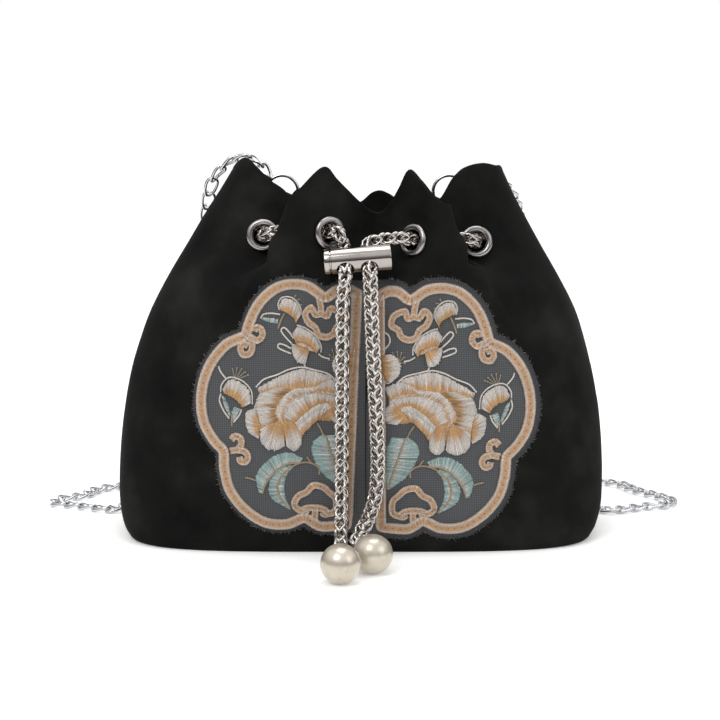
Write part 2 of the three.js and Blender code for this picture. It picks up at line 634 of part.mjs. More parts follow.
function makePearl(side) {
  const sphere = new THREE.SphereGeometry(PEARL_R, PEARL_SIDES, PEARL_SIDES * 2 / 3);
  const ball = solid(standing(sphere).translate(...pearlCentre(side).toArray()));
  const bore = post(PEG_R + GAP, PEARL_R - PEG_LENGTH - GAP, 2 * PEARL_R, PEG_SIDES);
  return geometryOf(ball.subtract(placed(bore, drillMatrix(side))));
}

// Strap, its rings and their tabs

const ringX = (name) => RING_PLACES[name] * BAG_WIDTH / 2;

function makeStrap() {
  const end = (name, side) => new THREE.Vector3(
    ringX(name) + side * STRAP_END_ACROSS, STRAP_END_BACK, RING_HEIGHT + RING_R + STRAP_END_RISE);
  const run = STRAP_ROUTE.map((place) => besideBag(place, STRAP_R));
  const points = [end('left', -1), ...run, end('right', 1)];
  return geometryOf(solid(tube(points, STRAP_R, STRAP_SIDES, STRAP_STEPS)));
}

function makeRing() {
  return standing(new THREE.TorusGeometry(RING_R, RING_WIRE_R, RING_WIRE_SIDES, RING_SIDES));
}

function makeTab(name, side) {
  const u = side < 0 ? 0 : 0.5;
  const eyeX = ringX(name) + side * RING_R;
  const wallAt = (height) => clothPoint(u, height, -WALL - GAP).x;
  const low = RING_HEIGHT - TAB_HEIGHT / 2;
  const high = RING_HEIGHT + TAB_HEIGHT / 2;
  const outline = [[eyeX, low], [wallAt(low), low], [wallAt(high), high], [eyeX, high]];
  const shape = new THREE.Shape(outline.map(([x, z]) => new THREE.Vector2(x, z)));
  const plate = new THREE.ExtrudeGeometry(shape, { depth: TAB_THICKNESS, bevelEnabled: false });
  const strip = solid(standing(plate).translate(0, TAB_THICKNESS / 2, 0));
  const reach = TAB_HEIGHT / 2;
  const sag = RING_R - Math.sqrt(RING_R ** 2 - reach ** 2);
  const holeR = RING_WIRE_R + sag + GAP;
  const eye = post(holeR + TAB_EYE_WALL, low, high, TAB_EYE_SIDES);
  const hole = post(holeR, low - reach, high + reach, TAB_EYE_SIDES);
  const shift = eyeX - side * sag / 2;
  return geometryOf(strip.add(solid(eye.translate(shift, 0, 0))).subtract(solid(hole.translate(shift, 0, 0))));
}

// Patches and borders

// Border's outer edge as front view points for one side
function medallion({ side, drop, tilt }) {
  const points = [];
  const turn = THREE.MathUtils.degToRad(tilt);
  const middle = new THREE.Vector2(PATCH_WIDTH / 2, PATCH_HEIGHT / 2);
  for (const lobe of LOBES) {
    const curve = new THREE.SplineCurve(
      lobe.map(([across, up]) => new THREE.Vector2(across * PATCH_WIDTH, up * PATCH_HEIGHT)));
    const run = curve.getPoints(lobe.length + LOBE_EXTRA_POINTS);
    points.push(...(lobe === LOBES.at(-1) ? run : run.slice(0, -1)));
  }
  return points.map((point) => {
    point.rotateAround(middle, turn);
    return new THREE.Vector2(PATCH_MIDDLE + side * point.x, PATCH_BASE - drop + point.y);
  });
}

// Outline moved out by a distance (in if negative), without the loops that form in its corners
function moved(outline, distance) {
  const shape = THREE.ShapeUtils.isClockWise(outline) ? [...outline].reverse() : outline;
  const count = shape.length;
  const result = [];
  const nearest = (point) => {
    let least = Infinity;
    for (let i = 0; i < count; i += 1) {
      const a = shape[i];
      const edge = shape[(i + 1) % count].clone().sub(a);
      const t = THREE.MathUtils.clamp(point.clone().sub(a).dot(edge) / edge.lengthSq(), 0, 1);
      least = Math.min(least, point.distanceTo(a.clone().addScaledVector(edge, t)));
    }
    return least;
  };
  shape.forEach((point, i) => {
    const edge = shape[(i + 1) % count].clone().sub(shape[(i + count - 1) % count]).normalize();
    const shifted = point.clone().add(new THREE.Vector2(edge.y, -edge.x).multiplyScalar(distance));
    if (nearest(shifted) > Math.abs(distance) - GAP / 2) {
      result.push(shifted);
    }
  });
  return result;
}

// Prism of a front view outline through the front of the bag
function frontPrism(outline) {
  const depth = BAG_DEPTH;
  const prism = new THREE.ExtrudeGeometry(new THREE.Shape(outline), { depth, bevelEnabled: false });
  return solid(standing(prism));
}

// Part of the cloth that the patches can reach
const FRONT_SPAN = [0.05, 0.45];
const PATCH_ROWS = [1, 11];

function makePatch(side) {
  const skin = clothLayer(GAP, GAP + PATCH_THICKNESS, PATCH_ROWS, FRONT_SPAN);
  const outline = moved(medallion(side), PATCH_MARGIN);
  for (const point of outline) {
    point.x = PATCH_MIDDLE + side.side * Math.max(side.side * (point.x - PATCH_MIDDLE), GAP / 2);
  }
  return geometryOf(skin.intersect(frontPrism(outline)));
}

function makeBorder(side) {
  const under = 2 * GAP + PATCH_THICKNESS;
  const skin = clothLayer(under, under + BORDER_THICKNESS, PATCH_ROWS, FRONT_SPAN);
  const outline = medallion(side);
  const band = frontPrism(outline).subtract(frontPrism(moved(outline, -BORDER_WIDTH)));
  return geometryOf(skin.intersect(band));
}

// Assembly

const finish = {
  velvet: { color: 0x161515, roughness: 0.95, metalness: 0 },
  gunmetal: { color: 0x77767a, roughness: 0.22, metalness: 1 },
  steel: { color: 0xc9c4c0, roughness: 0.12, metalness: 1 },
  nickel: { color: 0xc8c8cc, roughness: 0.2, metalness: 1 },
  pearl: { color: 0xe6dfd0, roughness: 0.25, metalness: 0 },
  organza: { color: 0x48494b, roughness: 0.7, metalness: 0 },
  satin: { color: 0xd8b48c, roughness: 0.5, metalness: 0 },
};

const bag = new THREE.Group();

function add(name, geometry, look) {
  const mesh = new THREE.Mesh(geometry, new THREE.MeshStandardMaterial(finish[look]));
  mesh.name = name;
  bag.add(mesh);
  return mesh;
}

add('bag_body', makeBody(), 'velvet');

for (const frame of EYELETS) {
  const mesh = add(`eyelet_${frame.name}`, makeEyelet(frame), 'gunmetal');
  mesh.position.copy(frame.centre);
  mesh.quaternion.setFromRotationMatrix(frame.matrix);
}

add('drawstring', makeDrawstring(), 'nickel');

const lock = add('cord_lock', makeLock(), 'steel');
lock.position.copy(lockPlace);
lock.quaternion.setFromRotationMatrix(lockMatrix);

for (const side of Object.keys(PEARL_PLACES)) {
  add(`pearl_${side}`, makePearl(side), 'pearl');
}

for (const [name, side] of Object.entries(PATCH_SIDES)) {
  add(`patch_${name}`, makePatch(side), 'organza');
  add(`border_${name}`, makeBorder(side), 'satin');
  const ring = add(`strap_ring_${name}`, makeRing(), 'nickel');
  ring.position.set(ringX(name), 0, RING_HEIGHT);
  add(`ring_tab_${name}`, makeTab(name, side.side), 'velvet');
}

add('strap', makeStrap(), 'nickel');

export default bag;
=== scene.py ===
"""A black velvet drawstring bucket bag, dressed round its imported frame.

Every surface is worked out with numpy in millimetres, in the frame's own axes: +X to the right, the
embroidered front faces -Y and the bag stands on z = 0.
"""

import logging
from dataclasses import dataclass, field
from enum import Enum
from math import pi, radians

import bpy
import numpy as np
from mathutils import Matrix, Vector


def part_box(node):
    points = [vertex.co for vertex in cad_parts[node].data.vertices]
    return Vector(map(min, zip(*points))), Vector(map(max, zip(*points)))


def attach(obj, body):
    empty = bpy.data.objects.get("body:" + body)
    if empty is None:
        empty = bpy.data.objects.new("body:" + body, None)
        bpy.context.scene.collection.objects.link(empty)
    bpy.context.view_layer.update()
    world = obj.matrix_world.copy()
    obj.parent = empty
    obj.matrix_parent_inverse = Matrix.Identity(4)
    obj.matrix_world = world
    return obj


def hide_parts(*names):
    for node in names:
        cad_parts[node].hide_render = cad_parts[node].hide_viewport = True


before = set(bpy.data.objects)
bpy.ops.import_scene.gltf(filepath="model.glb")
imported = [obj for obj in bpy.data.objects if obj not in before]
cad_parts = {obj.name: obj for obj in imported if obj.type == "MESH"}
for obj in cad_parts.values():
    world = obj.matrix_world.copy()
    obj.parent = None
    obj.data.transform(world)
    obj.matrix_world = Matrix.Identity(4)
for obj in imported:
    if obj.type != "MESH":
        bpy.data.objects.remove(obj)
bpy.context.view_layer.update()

logging.basicConfig(level=logging.INFO, format="%(message)s")
log = logging.getLogger("bag")

MM = 0.001
BODY = "root"
SEED = 7
Array = np.ndarray
# A noise texture's values lie mostly between these two
NOISE_LOW, NOISE_HIGH = 0.3, 0.7
# Length of one band of a wave texture at scale 1
WAVE_PERIOD = 2 * pi / 20
# Steps of a smooth curve between two of its chosen points
CURVE_STEPS = 24
SIDES = (("left", -1), ("right", 1))

# Tables of the bag's form

# Levels of the bag: height, then shares of half its width and depth, lean to the right, power of the
# rounded rectangle
SECTIONS = np.array([
    (0.0, 0.943, 0.905, 0.0, 4.2), (0.03, 0.973, 0.95, 0.0, 3.9), (0.075, 0.993, 0.975, 0.002, 3.5),
    (0.12, 1.0, 0.99, 0.003, 3.2), (0.2, 0.998, 1.0, 0.005, 3.0), (0.32, 0.982, 1.0, 0.006, 2.9),
    (0.44, 0.95, 0.99, 0.007, 2.8), (0.535, 0.908, 0.978, 0.009, 2.7), (0.6, 0.871, 0.968, 0.01, 2.6),
    (0.684, 0.804, 0.962, 0.012, 2.5), (0.773, 0.723, 0.957, 0.015, 2.5), (0.858, 0.647, 0.92, 0.018, 2.5),
    (0.913, 0.597, 0.88, 0.024, 2.5), (1.0, 0.525, 0.82, 0.034, 2.5),
])

# Pleats from the left side over the front to the right side: x and y as shares of half the neck, the
# rim's height in front and behind as shares of the bag's height
PLEATS = np.array([
    (-1.0, 0.0, 0.975, 0.975), (-0.955, -0.24, 1, 0.955), (-0.83, -0.42, 0.98, 0.93),
    (-0.67, -0.51, 0.945, 0.915), (-0.565, -0.518, 0.925, 0.9), (-0.46, -0.51, 0.896, 0.885),
    (-0.33, -0.495, 0.865, 0.87), (-0.262, -0.535, 0.853, 0.86), (-0.33, -0.63, 0.86, 0.87),
    (-0.405, -0.745, 0.872, 0.885), (-0.475, -0.86, 0.885, 0.9), (-0.5, -0.94, 0.9, 0.885),
    (-0.445, -1, 0.935, 0.9), (-0.36, -0.995, 0.975, 0.93), (-0.29, -0.945, 0.986, 0.935),
    (-0.2, -0.875, 0.955, 0.925), (-0.11, -0.8, 0.925, 0.89), (-0.02, -0.68, 0.893, 0.865),
    (0.088, -0.525, 0.864, 0.9), (0.145, -0.565, 0.886, 0.892), (0.212, -0.68, 0.93, 0.875),
    (0.284, -0.782, 0.977, 0.9), (0.356, -0.884, 0.953, 0.915), (0.43, -0.982, 0.916, 0.89),
    (0.5, -0.985, 0.897, 0.872), (0.54, -0.91, 0.892, 0.868), (0.505, -0.82, 0.885, 0.87),
    (0.425, -0.7, 0.875, 0.87), (0.35, -0.59, 0.865, 0.87), (0.3, -0.51, 0.862, 0.86),
    (0.37, -0.48, 0.868, 0.865), (0.485, -0.505, 0.9, 0.87), (0.59, -0.518, 0.948, 0.875),
    (0.695, -0.51, 0.976, 0.88), (0.85, -0.42, 0.988, 0.885), (0.96, -0.24, 0.98, 0.9), (1, 0.0, 0.97, 0.97),
])

# Rings of the underside: share of the base's outline, height in millimetres
UNDERSIDE = ((0.05, 0), (0.3, 0), (0.55, 0), (0.8, 0), (0.93, 0), (0.975, 0.05), (0.988, 0.5), (0.996, 1.2))

# Rows of the pleats that carry an eyelet, and the eyelet's rise above its level in millimetres
EYELET_ROWS = {
    "left_outer": (4, 0.3), "left_fold": (9, 1.5), "left_inner": (15, 3.0),
    "right_inner": (21, -0.6), "right_fold": (27, -1.5), "right_outer": (32, -2.6),
}

# How the drawstring passes the eyelets of one half: eyelet, way out and way along in eyelet radii
LEFT_WEAVE = (
    ("left_inner", 0.8, 0.16), ("left_inner", 0, 0), ("left_inner", -0.667, -0.053),
    ("left_fold", -0.733, -0.107), ("left_fold", 0, 0), ("left_fold", 0.667, -0.08),
    ("left_outer", 0.8, 0.347), ("left_outer", 0, 0), ("left_outer", -0.667, -0.133),
)
RIGHT_WEAVE = (
    ("right_inner", 0.8, -0.16), ("right_inner", 0, 0), ("right_inner", -0.533, -0.04),
    ("right_fold", -0.533, -0.12), ("right_fold", 0, 0), ("right_fold", 0.667, -0.08),
    ("right_outer", 0.8, -0.373), ("right_outer", 0, 0), ("right_outer", -0.667, 0.133),
)

# Chosen points of the hanging strands, from the lock to the pearls, in millimetres
LEFT_STRAND = np.array([
    (-7.2, -64.6, 116), (-7.6, -64.2, 90), (-7.9, -64.2, 58), (-8.0, -64.6, 32), (-8.1, -68.5, 17),
    (-8.1, -77.5, 8.5), (-8.1, -88, 7),
], float)
RIGHT_STRAND = np.array([
    (4.6, -64.6, 116), (5.6, -64.2, 92), (7.2, -64.2, 58), (7.6, -64.4, 40), (6.4, -65, 27),
    (3.6, -67.5, 19), (0.6, -71, 14), (-1.2, -75.5, 11),
], float)
PEARL_PLACES = {"left": (-8.1, -105.3, 8.5), "right": (5.5, -89.0, 8.5)}
PEARL_DRILLS = {"left": (0.0, 0.99, 0.02), "right": (-0.66, 0.73, 0.16)}

# Chosen points of the strap between its two rings, in millimetres
STRAP_ROUTE = np.array([
    (-47, 5, 169.5), (-54.5, 9.5, 171.5), (-62, 13, 167.5), (-68, 17, 160.5), (-71, 23, 150),
    (-73, 35, 133), (-73, 47, 114), (-71, 55, 94), (-69, 60, 62), (-69, 61, 30), (-70, 62, 12),
    (-73, 66, 5), (-80, 71, 2.7), (-95, 77, 2.7), (-118, 78, 2.7), (-131, 70, 2.7), (-137, 56, 2.7),
    (-147, 47, 2.7), (-148, 38, 2.7), (-139, 34, 2.7), (-129, 29, 2.7), (-120, 25, 2.7),
    (-113, 32, 2.7), (-105, 43, 2.7), (-94, 50, 2.7), (-69, 54.9, 2.7), (-30, 57, 2.7), (30, 57, 2.7),
    (69, 54.9, 2.7), (94, 50, 2.7), (105, 42, 2.7), (112, 31, 2.7), (120, 23, 2.7), (129, 26, 2.7),
    (138, 31, 2.7), (148, 34, 2.7), (152, 44, 2.7), (145, 58, 2.7), (138, 68, 2.7), (132, 82, 2.7),
    (116, 91, 2.7), (92, 83, 2.7), (79, 73, 2.7), (73, 67, 5), (70, 62, 12), (69, 61, 30),
    (70, 60, 62), (73, 55, 94), (76, 47, 114), (76, 35, 133), (73, 24, 148), (67, 16, 158),
    (59, 11, 163.5), (52, 6, 165.8),
], float)
RING_X = {"left": -35.6, "right": 40.7}

# Half medallion: turning points of the band's outer edge from the top of the middle to its bottom, as
# shares of the patch's width and height; each row is a lobe between two notches
LOBES = (
    ((0.02, 0.95), (0.1, 0.975), (0.17, 0.972), (0.23, 0.945)),
    ((0.23, 0.945), (0.32, 0.985), (0.43, 0.995), (0.53, 0.975), (0.635, 0.91), (0.695, 0.83),
     (0.715, 0.785)),
    ((0.715, 0.785), (0.82, 0.75), (0.93, 0.655), (0.98, 0.53), (0.962, 0.42), (0.9, 0.345), (0.85, 0.31)),
    ((0.85, 0.31), (0.845, 0.235), (0.81, 0.15), (0.715, 0.068), (0.59, 0.015), (0.45, 0.008),
     (0.355, 0.035)),
    ((0.355, 0.035), (0.28, 0.002), (0.19, 0.0), (0.09, 0.012), (0.075, 0.06)),
)

# A quarter of a chain link from its waist to the tip of a lobe: out, across and along, in millimetres
LINK_QUARTER = ((0, 0.55, 6.4), (0.5, 0.8, 5.9), (1.0, 1.35, 5.1), (1.65, 2.05, 4.0), (2.15, 1.85, 2.8),
                (2.3, 1.1, 1.5), (2.2, 0.35, 0.45), (2.1, 0, 0.1))

# Folds that run on below the pleats, as front view points: line from its top down, reach to the left and
# to the right of the line as one walks it, height
CREASES = (
    (((40, 144), (47.5, 132), (53, 120), (62.6, 104), (77, 86), (84, 79)), 1.9, 17.0, 2.8),
    (((-36, 143), (-42, 130), (-48, 118), (-56, 104)), 14.0, 1.9, 2.2),
    (((8, 138), (10, 128), (14, 118)), 4.0, 4.0, -0.9),
    (((-72, 120), (-82, 96), (-90, 70)), 9.0, 6.0, 1.0),
    (((86, 108), (94, 84), (99, 58)), 6.0, 9.0, 1.0),
    (((-60, 10), (-20, 6.5), (30, 6.5), (70, 9)), 4.0, 4.0, 0.5),
    (((-98, 60), (-88, 38), (-84, 16)), 7.0, 5.0, 0.8),
    (((104, 66), (96, 40), (92, 18)), 5.0, 8.0, 0.8),
)

# Soft lights: name, place, point looked at, size in metres, power in watts
LIGHTS = (
    ("key", (-0.55, -1.0, 1.25), (0.0, 0.0, 0.08), 0.7, 7.0),
    ("fill", (1.1, -0.7, 0.7), (0.0, 0.0, 0.08), 0.8, 2.5),
    ("top", (0.05, 0.1, 1.4), (0.0, 0.0, 0.05), 0.8, 5.0),
)


class Shade(Enum):
    """How a stitched shape is shaded, from its root to its tip."""

    CREAM = ("#D8D0C8", "#E2DBD4")
    PEACH = ("#D2A26C", "#DAD2CB")
    GOLD = ("#B98C55", "#D9D1C8")
    CREAM_ROOT = ("#DAD2CA", "#D0A272")
    PEACH_SIDE = ("#CFA06C", "#DAD2CB")
    TEAL = ("#CFD6D1", "#A9C6C3")
    TAUPE = ("#A28D70", "#A28D70")


@dataclass(frozen=True)
class Petal:
    """One stitched shape: its stitches run from the root curve to the tip curve, in motif millimetres."""

    name: str
    shade: Shade
    root: tuple[tuple[float, float], ...]
    tip: tuple[tuple[float, float], ...]


@dataclass(frozen=True)
class Thread:
    """One couched thread along a curve, in motif millimetres."""

    shade: Shade
    line: tuple[tuple[float, float], ...]


@dataclass(frozen=True)
class Stamens:
    """Fine stitches from one root to some knots, in motif millimetres."""

    name: str
    root: tuple[float, float]
    knots: tuple[tuple[float, float], ...]


@dataclass(frozen=True)
class Scroll:
    """One satin scroll inside the medallion, in motif millimetres."""

    name: str
    closed: bool
    line: tuple[tuple[float, float], ...]


# The embroidery of one half, in motif millimetres: away from the bag's middle, and up from the patch's foot

PETALS = (
    Petal("ground", Shade.PEACH,
        ((10.6, 52), (14.4, 49.6), (21.8, 49.4), (28.6, 43), (33, 41), (39, 40.6), (45.6, 43.6)),
        ((9.6, 61.5), (14.4, 66.4), (24, 69), (33, 68), (41, 65), (46.4, 60.6), (49.6, 52))),
    Petal("fill_upper", Shade.GOLD,
        ((12, 60), (16.6, 60.6), (25.1, 60.4), (31.4, 56.8), (35.5, 51.2), (36, 49.4)),
        ((12.6, 61.6), (19.4, 63.6), (28.7, 64.4), (36, 61.4), (39, 54), (38, 49.6))),
    Petal("fill_inner", Shade.CREAM, ((16.6, 54.4), (20.9, 53.6), (25.5, 50.2), (30.2, 46.6)),
        ((14.2, 55.4), (17.4, 57.8), (21.2, 57.2), (26.2, 54), (31.6, 48.6))),
    Petal("mid_heart", Shade.CREAM_ROOT, ((24.1, 80.2), (25.9, 80.9), (27.7, 81.7), (29.9, 82.4)),
        ((21.6, 79.6), (22.9, 82.4), (25.5, 83.8), (28.2, 84.8), (30.9, 84.2))),
    Petal("crown", Shade.PEACH,
        ((16.8, 66.6), (22.8, 64), (28.7, 63.3), (33.8, 62.7), (40.5, 62.2), (46.5, 61.4)),
        ((14, 68.8), (21, 70.9), (27.9, 72.4), (34.2, 70.5), (40.2, 67.6), (47.3, 63.7))),
    Petal("cheek", Shade.GOLD, ((31.4, 63.6), (35, 60.3), (37.4, 56.3), (38.1, 52.6), (36.6, 49.9)),
        ((39.3, 64.6), (46.4, 61), (48.4, 55.6), (47.9, 50.7), (45.5, 46.9))),
    Petal("shoulder", Shade.PEACH, ((10.3, 59.2), (14.8, 61.3), (19.2, 62.1), (23.6, 61.6)),
        ((7.7, 65.1), (12, 67), (17.5, 67.7), (22.4, 64))),
    Petal("lobe", Shade.PEACH, ((14.6, 57.8), (13.4, 55.8), (14, 53.6), (17.3, 52.8)),
        ((10.5, 58.6), (7.7, 54.4), (9, 49.9), (13.9, 48.9))),
    Petal("arch", Shade.PEACH, ((14, 54.6), (16.8, 57.5), (20.8, 56.8), (25.7, 53.5), (31.1, 48.2)),
        ((10.5, 59), (16.6, 61), (25.1, 61), (31.8, 57.2), (35.9, 51.2))),
    Petal("lip", Shade.CREAM_ROOT, ((16.6, 55.1), (20.9, 54.2), (25.5, 50.8), (30.2, 47.2)),
        ((18.2, 51.8), (22.2, 48.8), (25.9, 45.1), (28.3, 42.2))),
    Petal("skirt", Shade.PEACH_SIDE, ((30.6, 48.2), (32.2, 49.3), (34, 49.9), (35.8, 50.3)),
        ((28, 42.9), (28.5, 38.4), (31.4, 36.2), (34.7, 38.1))),
    Petal("hem", Shade.PEACH, ((36.5, 48.4), (37.2, 48.8), (38.1, 49), (39.6, 48.8), (41.2, 48.6)),
        ((35.3, 38.3), (38.6, 36.6), (42.6, 37), (45.7, 39.8), (46.2, 45.8))),
    Petal("side", Shade.PEACH, ((46.8, 51.3), (46.6, 49.5), (46.5, 47.3), (46.5, 45), (46.4, 42.8)),
        ((48.4, 54.8), (52, 53.2), (52.6, 49), (51.2, 44.5), (46.9, 41.4))),
    Petal("mid_top", Shade.PEACH, ((21.6, 79), (22.9, 81.8), (25.5, 83.2), (28.2, 84.2), (30.6, 83.9)),
        ((19.7, 81.8), (21.7, 86.1), (26, 89.3), (29.6, 90.6), (31.9, 87.9))),
    Petal("mid_low", Shade.PEACH, ((24.5, 80.4), (25.9, 81.3), (27.7, 82.1), (29.7, 82.8)),
        ((26, 74.9), (28.6, 74.8), (31.2, 77.3), (32.4, 83.6))),
    Petal("fan_top", Shade.PEACH, ((30.3, 92.3), (31.2, 94.3), (33, 95.8), (35, 97), (36.8, 97.6)),
        ((28.2, 95.9), (29.2, 99.9), (32.5, 102.6), (36.1, 102.6), (37.8, 99.7))),
    Petal("bud_centre", Shade.PEACH, ((5.8, 79.1), (6, 76), (6.4, 72.7), (7.3, 69.8), (8.5, 68)),
        ((9.7, 80), (13.4, 77.4), (14.6, 74), (13.3, 70.4), (10.3, 67.5))),
    Petal("bud_side", Shade.PEACH, ((53.8, 55.2), (55.5, 57.5), (57.6, 59.1), (59.8, 60.1), (61.8, 61)),
        ((50.1, 57.1), (50.7, 62.1), (54.4, 65.9), (59.5, 66.9), (62.7, 63))),
)

LEAVES = (
    Petal("inner_left", Shade.TEAL, ((17.5, 43.1), (15.8, 37.6), (14.2, 32.3), (12.4, 26.2), (10.5, 20.4)),
        ((11.8, 43.6), (9.5, 38.1), (9.6, 31.4), (9.3, 25.3), (10, 20.1))),
    Petal("inner_right", Shade.TEAL, ((17.5, 43.1), (15.8, 37.6), (14.2, 32.3), (12.4, 26.2), (10.6, 20.2)),
        ((18.4, 44.1), (23.4, 39.5), (22.9, 33.3), (19.1, 26.4), (11.2, 20))),
    Petal("arch", Shade.TEAL,
        ((28.9, 30.8), (33.7, 30.5), (38.6, 27.8), (42.1, 24), (44.1, 20.9), (45.3, 17.1)),
        ((27.5, 32.9), (33.3, 35.3), (39.4, 34.1), (44.9, 29.9), (48.1, 24.3), (46.9, 17.4))),
    Petal("low_outer", Shade.TEAL, ((32.4, 29.4), (36.6, 25.4), (38.7, 20.3), (37.6, 15.3), (33.3, 10.1)),
        ((33, 30.1), (38.6, 27.7), (42.3, 21.8), (41.6, 15.3), (33.5, 9.8))),
    Petal("low_inner", Shade.TEAL, ((32.3, 29.3), (36.4, 25.2), (38.4, 20.3), (37.3, 15.3), (33.2, 10.1)),
        ((31.8, 28.8), (34.3, 25.7), (35.6, 20.9), (35.2, 15.6), (33, 10.4))),
    Petal("top", Shade.TEAL, ((38, 93.7), (41.3, 94.3), (45.4, 94.4)),
        ((38.1, 91.8), (41.4, 92.2), (45.5, 93.7))),
    Petal("bud_left", Shade.TEAL, ((54.6, 54.3), (56, 51.7), (57.6, 48.9)),
        ((57.5, 55.4), (58.5, 52.9), (58.7, 49.2))),
    Petal("bud_right", Shade.TEAL, ((63.2, 60.2), (62.1, 55.7), (59.5, 50.5)),
        ((61.5, 59), (60, 55.6), (59, 51.8))),
)

THREADS = (
    Thread(Shade.CREAM, ((28.2, 95.9), (28.3, 98.6), (30, 101.6), (33, 103.5), (36.5, 103.1), (38, 100.4),
        (37.5, 97.8))),
    Thread(Shade.CREAM, ((37.2, 95.9), (41.2, 96.3), (44.6, 95.7), (45.7, 94))),
    Thread(Shade.CREAM, ((19.5, 79.6), (19.5, 82.4), (21.9, 86.8), (26.1, 90), (29.9, 91.4))),
    Thread(Shade.CREAM, ((13.1, 67.4), (16.3, 70.1), (22.4, 71.9), (27.9, 73.1), (33.4, 72), (38.7, 69.6),
        (44.6, 67.4), (47.9, 64.1))),
    Thread(Shade.CREAM, ((49.5, 56.7), (50.1, 62.6), (54.1, 66.7), (59.7, 67.9), (63, 64.7), (63.4, 61.5))),
    Thread(Shade.CREAM, ((63.3, 60.9), (64, 58), (62.2, 53.4), (59.7, 50))),
    Thread(Shade.CREAM, ((54.3, 54.1), (55.3, 51.6), (57.8, 48.4))),
    Thread(Shade.CREAM, ((5, 81), (5.6, 74.5), (6.4, 70.1), (8.7, 67.2), (10.9, 68))),
    Thread(Shade.CREAM, ((15.7, 76.7), (18.6, 77.5), (20.6, 78.9))),
    Thread(Shade.CREAM, ((26.2, 72.7), (26.9, 74.9))),
    Thread(Shade.CREAM, ((31.4, 85.6), (33.2, 88.2), (35.6, 90.2), (36.8, 89), (35, 86.2), (32.2, 83.4))),
    Thread(Shade.CREAM, ((32.6, 81.2), (35.2, 82.6), (37.8, 83), (38.2, 81.6), (35.8, 80.2), (32.4, 79))),
    Thread(Shade.CREAM, ((61.1, 67.4), (63.6, 70.6), (64.3, 72.7))),
    Thread(Shade.CREAM, ((5.3, 89.3), (8.3, 88.3), (9.3, 85.4), (8, 82.8), (6, 81.4))),
    Thread(Shade.TAUPE, ((35.2, 96.6), (36.8, 93.4), (38.2, 89.6))),
    Thread(Shade.TAUPE, ((21.3, 48.6), (19.6, 46), (18.4, 43.1))),
    Thread(Shade.TAUPE, ((20.4, 25.7), (20.5, 28.7), (23.9, 30.8), (28.5, 30.8), (33, 28.6), (35.5, 25.1))),
    Thread(Shade.TAUPE, ((23.9, 30.8), (25.8, 33.6))),
    Thread(Shade.TAUPE, ((58.6, 52), (58.6, 46.7))),
    Thread(Shade.TAUPE, ((17.5, 43.2), (15.8, 37.6), (14.2, 32.3), (12.4, 26.2), (10.4, 20.2))),
    Thread(Shade.TAUPE, ((28.9, 30.8), (33.8, 30.4), (38.7, 27.6), (42.2, 23.9), (44.1, 20.8),
        (45.3, 17.1))),
    Thread(Shade.TAUPE, ((32.3, 29.4), (36.5, 25.4), (38.5, 20.3), (37.4, 15.3), (33.2, 10.1))),
    Thread(Shade.TAUPE, ((48.4, 22.9), (51, 23.8), (52.7, 24.1))),
)

STAMENS = (
    Stamens("side", (57.1, 66.8), ((51.3, 69.3), (52.6, 70.6), (54.1, 71.9), (56.2, 72.2), (58.1, 71.6))),
    Stamens("centre", (13.5, 76.3), ((10.5, 80.5), (12.6, 81), (14.5, 80.6), (15.7, 78.6), (16.1, 76.1))),
    Stamens("top", (32.2, 101.7), ((28, 100.1), (28.8, 102.5), (30.4, 104.2))),
)

SCROLLS = (
    Scroll("ruyi_low", True, ((12.8, 12), (13.3, 15.2), (16.1, 17.9), (18.4, 20), (23, 20.8), (25.9, 17.9),
        (29.7, 15.8), (31.3, 12), (28.9, 9.7), (25.6, 10.6), (22.2, 10.8), (18.7, 10.2), (15.8, 8.3),
        (13.3, 9.6))),
    Scroll("ruyi_low_neck", False, ((22.2, 10.5), (22.3, 7.6), (22.5, 4.1))),
    Scroll("ruyi_low_hook_left", False, ((15.8, 8.3), (18, 7.8), (19.4, 9))),
    Scroll("ruyi_low_hook_right", False, ((28.9, 9.7), (26.9, 9), (25.3, 10))),
    Scroll("ruyi_top", True, ((13.2, 98), (10.3, 96), (9.7, 92.3), (12.7, 90.2), (14.1, 87.6), (17.2, 86.2),
        (20.5, 87.3), (21.9, 90.2), (25, 92.8), (26.1, 96.5), (23.7, 98.8), (21.6, 95.9), (19.3, 96.3),
        (16.8, 95.5), (15.3, 98.4))),
    Scroll("ruyi_top_neck", False, ((19.3, 96), (19.5, 99.7), (20.3, 103.8))),
    Scroll("curl_upper_high", False, ((53.4, 87.8), (50.1, 85.6), (47.1, 84.4), (45, 86.6), (45.7, 89.4),
        (47.9, 89.9), (48.4, 88.2))),
    Scroll("curl_upper_low", False, ((50.8, 86.2), (49.4, 82.6), (50.4, 78.8), (53.4, 78.1), (54.6, 81),
        (52.8, 82.7), (51.2, 81.8))),
    Scroll("curl_lower_high", False, ((59.4, 35.7), (56, 36.6), (54.6, 38.6), (54.8, 41.4), (57.2, 42.3),
        (58.8, 40.7))),
    Scroll("curl_lower_low", False, ((56, 36.3), (53.1, 35.7), (51.6, 33.6), (52.6, 31.2), (54.8, 31.3),
        (55.3, 33.3))),
)


# Numbers and curves

def linear(code: str) -> Array:
    """Linear red, green and blue of an sRGB hex colour.

    Args:
        code: the colour as #RRGGBB.

    Returns:
        Three numbers from 0 to 1.
    """
    value = np.array([int(code[i:i + 2], 16) for i in (1, 3, 5)]) / 255
    return np.where(value <= 0.04045, value / 12.92, ((value + 0.055) / 1.055) ** 2.4)


def rgba(code: str) -> tuple[float, float, float, float]:
    """Linear colour of an sRGB hex code with full alpha."""
    return (*linear(code), 1.0)


def smoothstep(low: float, high: float, value: Array) -> Array:
    """Smooth rise from 0 at low to 1 at high: t squared times (3 - 2t)."""
    t = np.clip((value - low) / (high - low), 0, 1)
    return t * t * (3 - 2 * t)


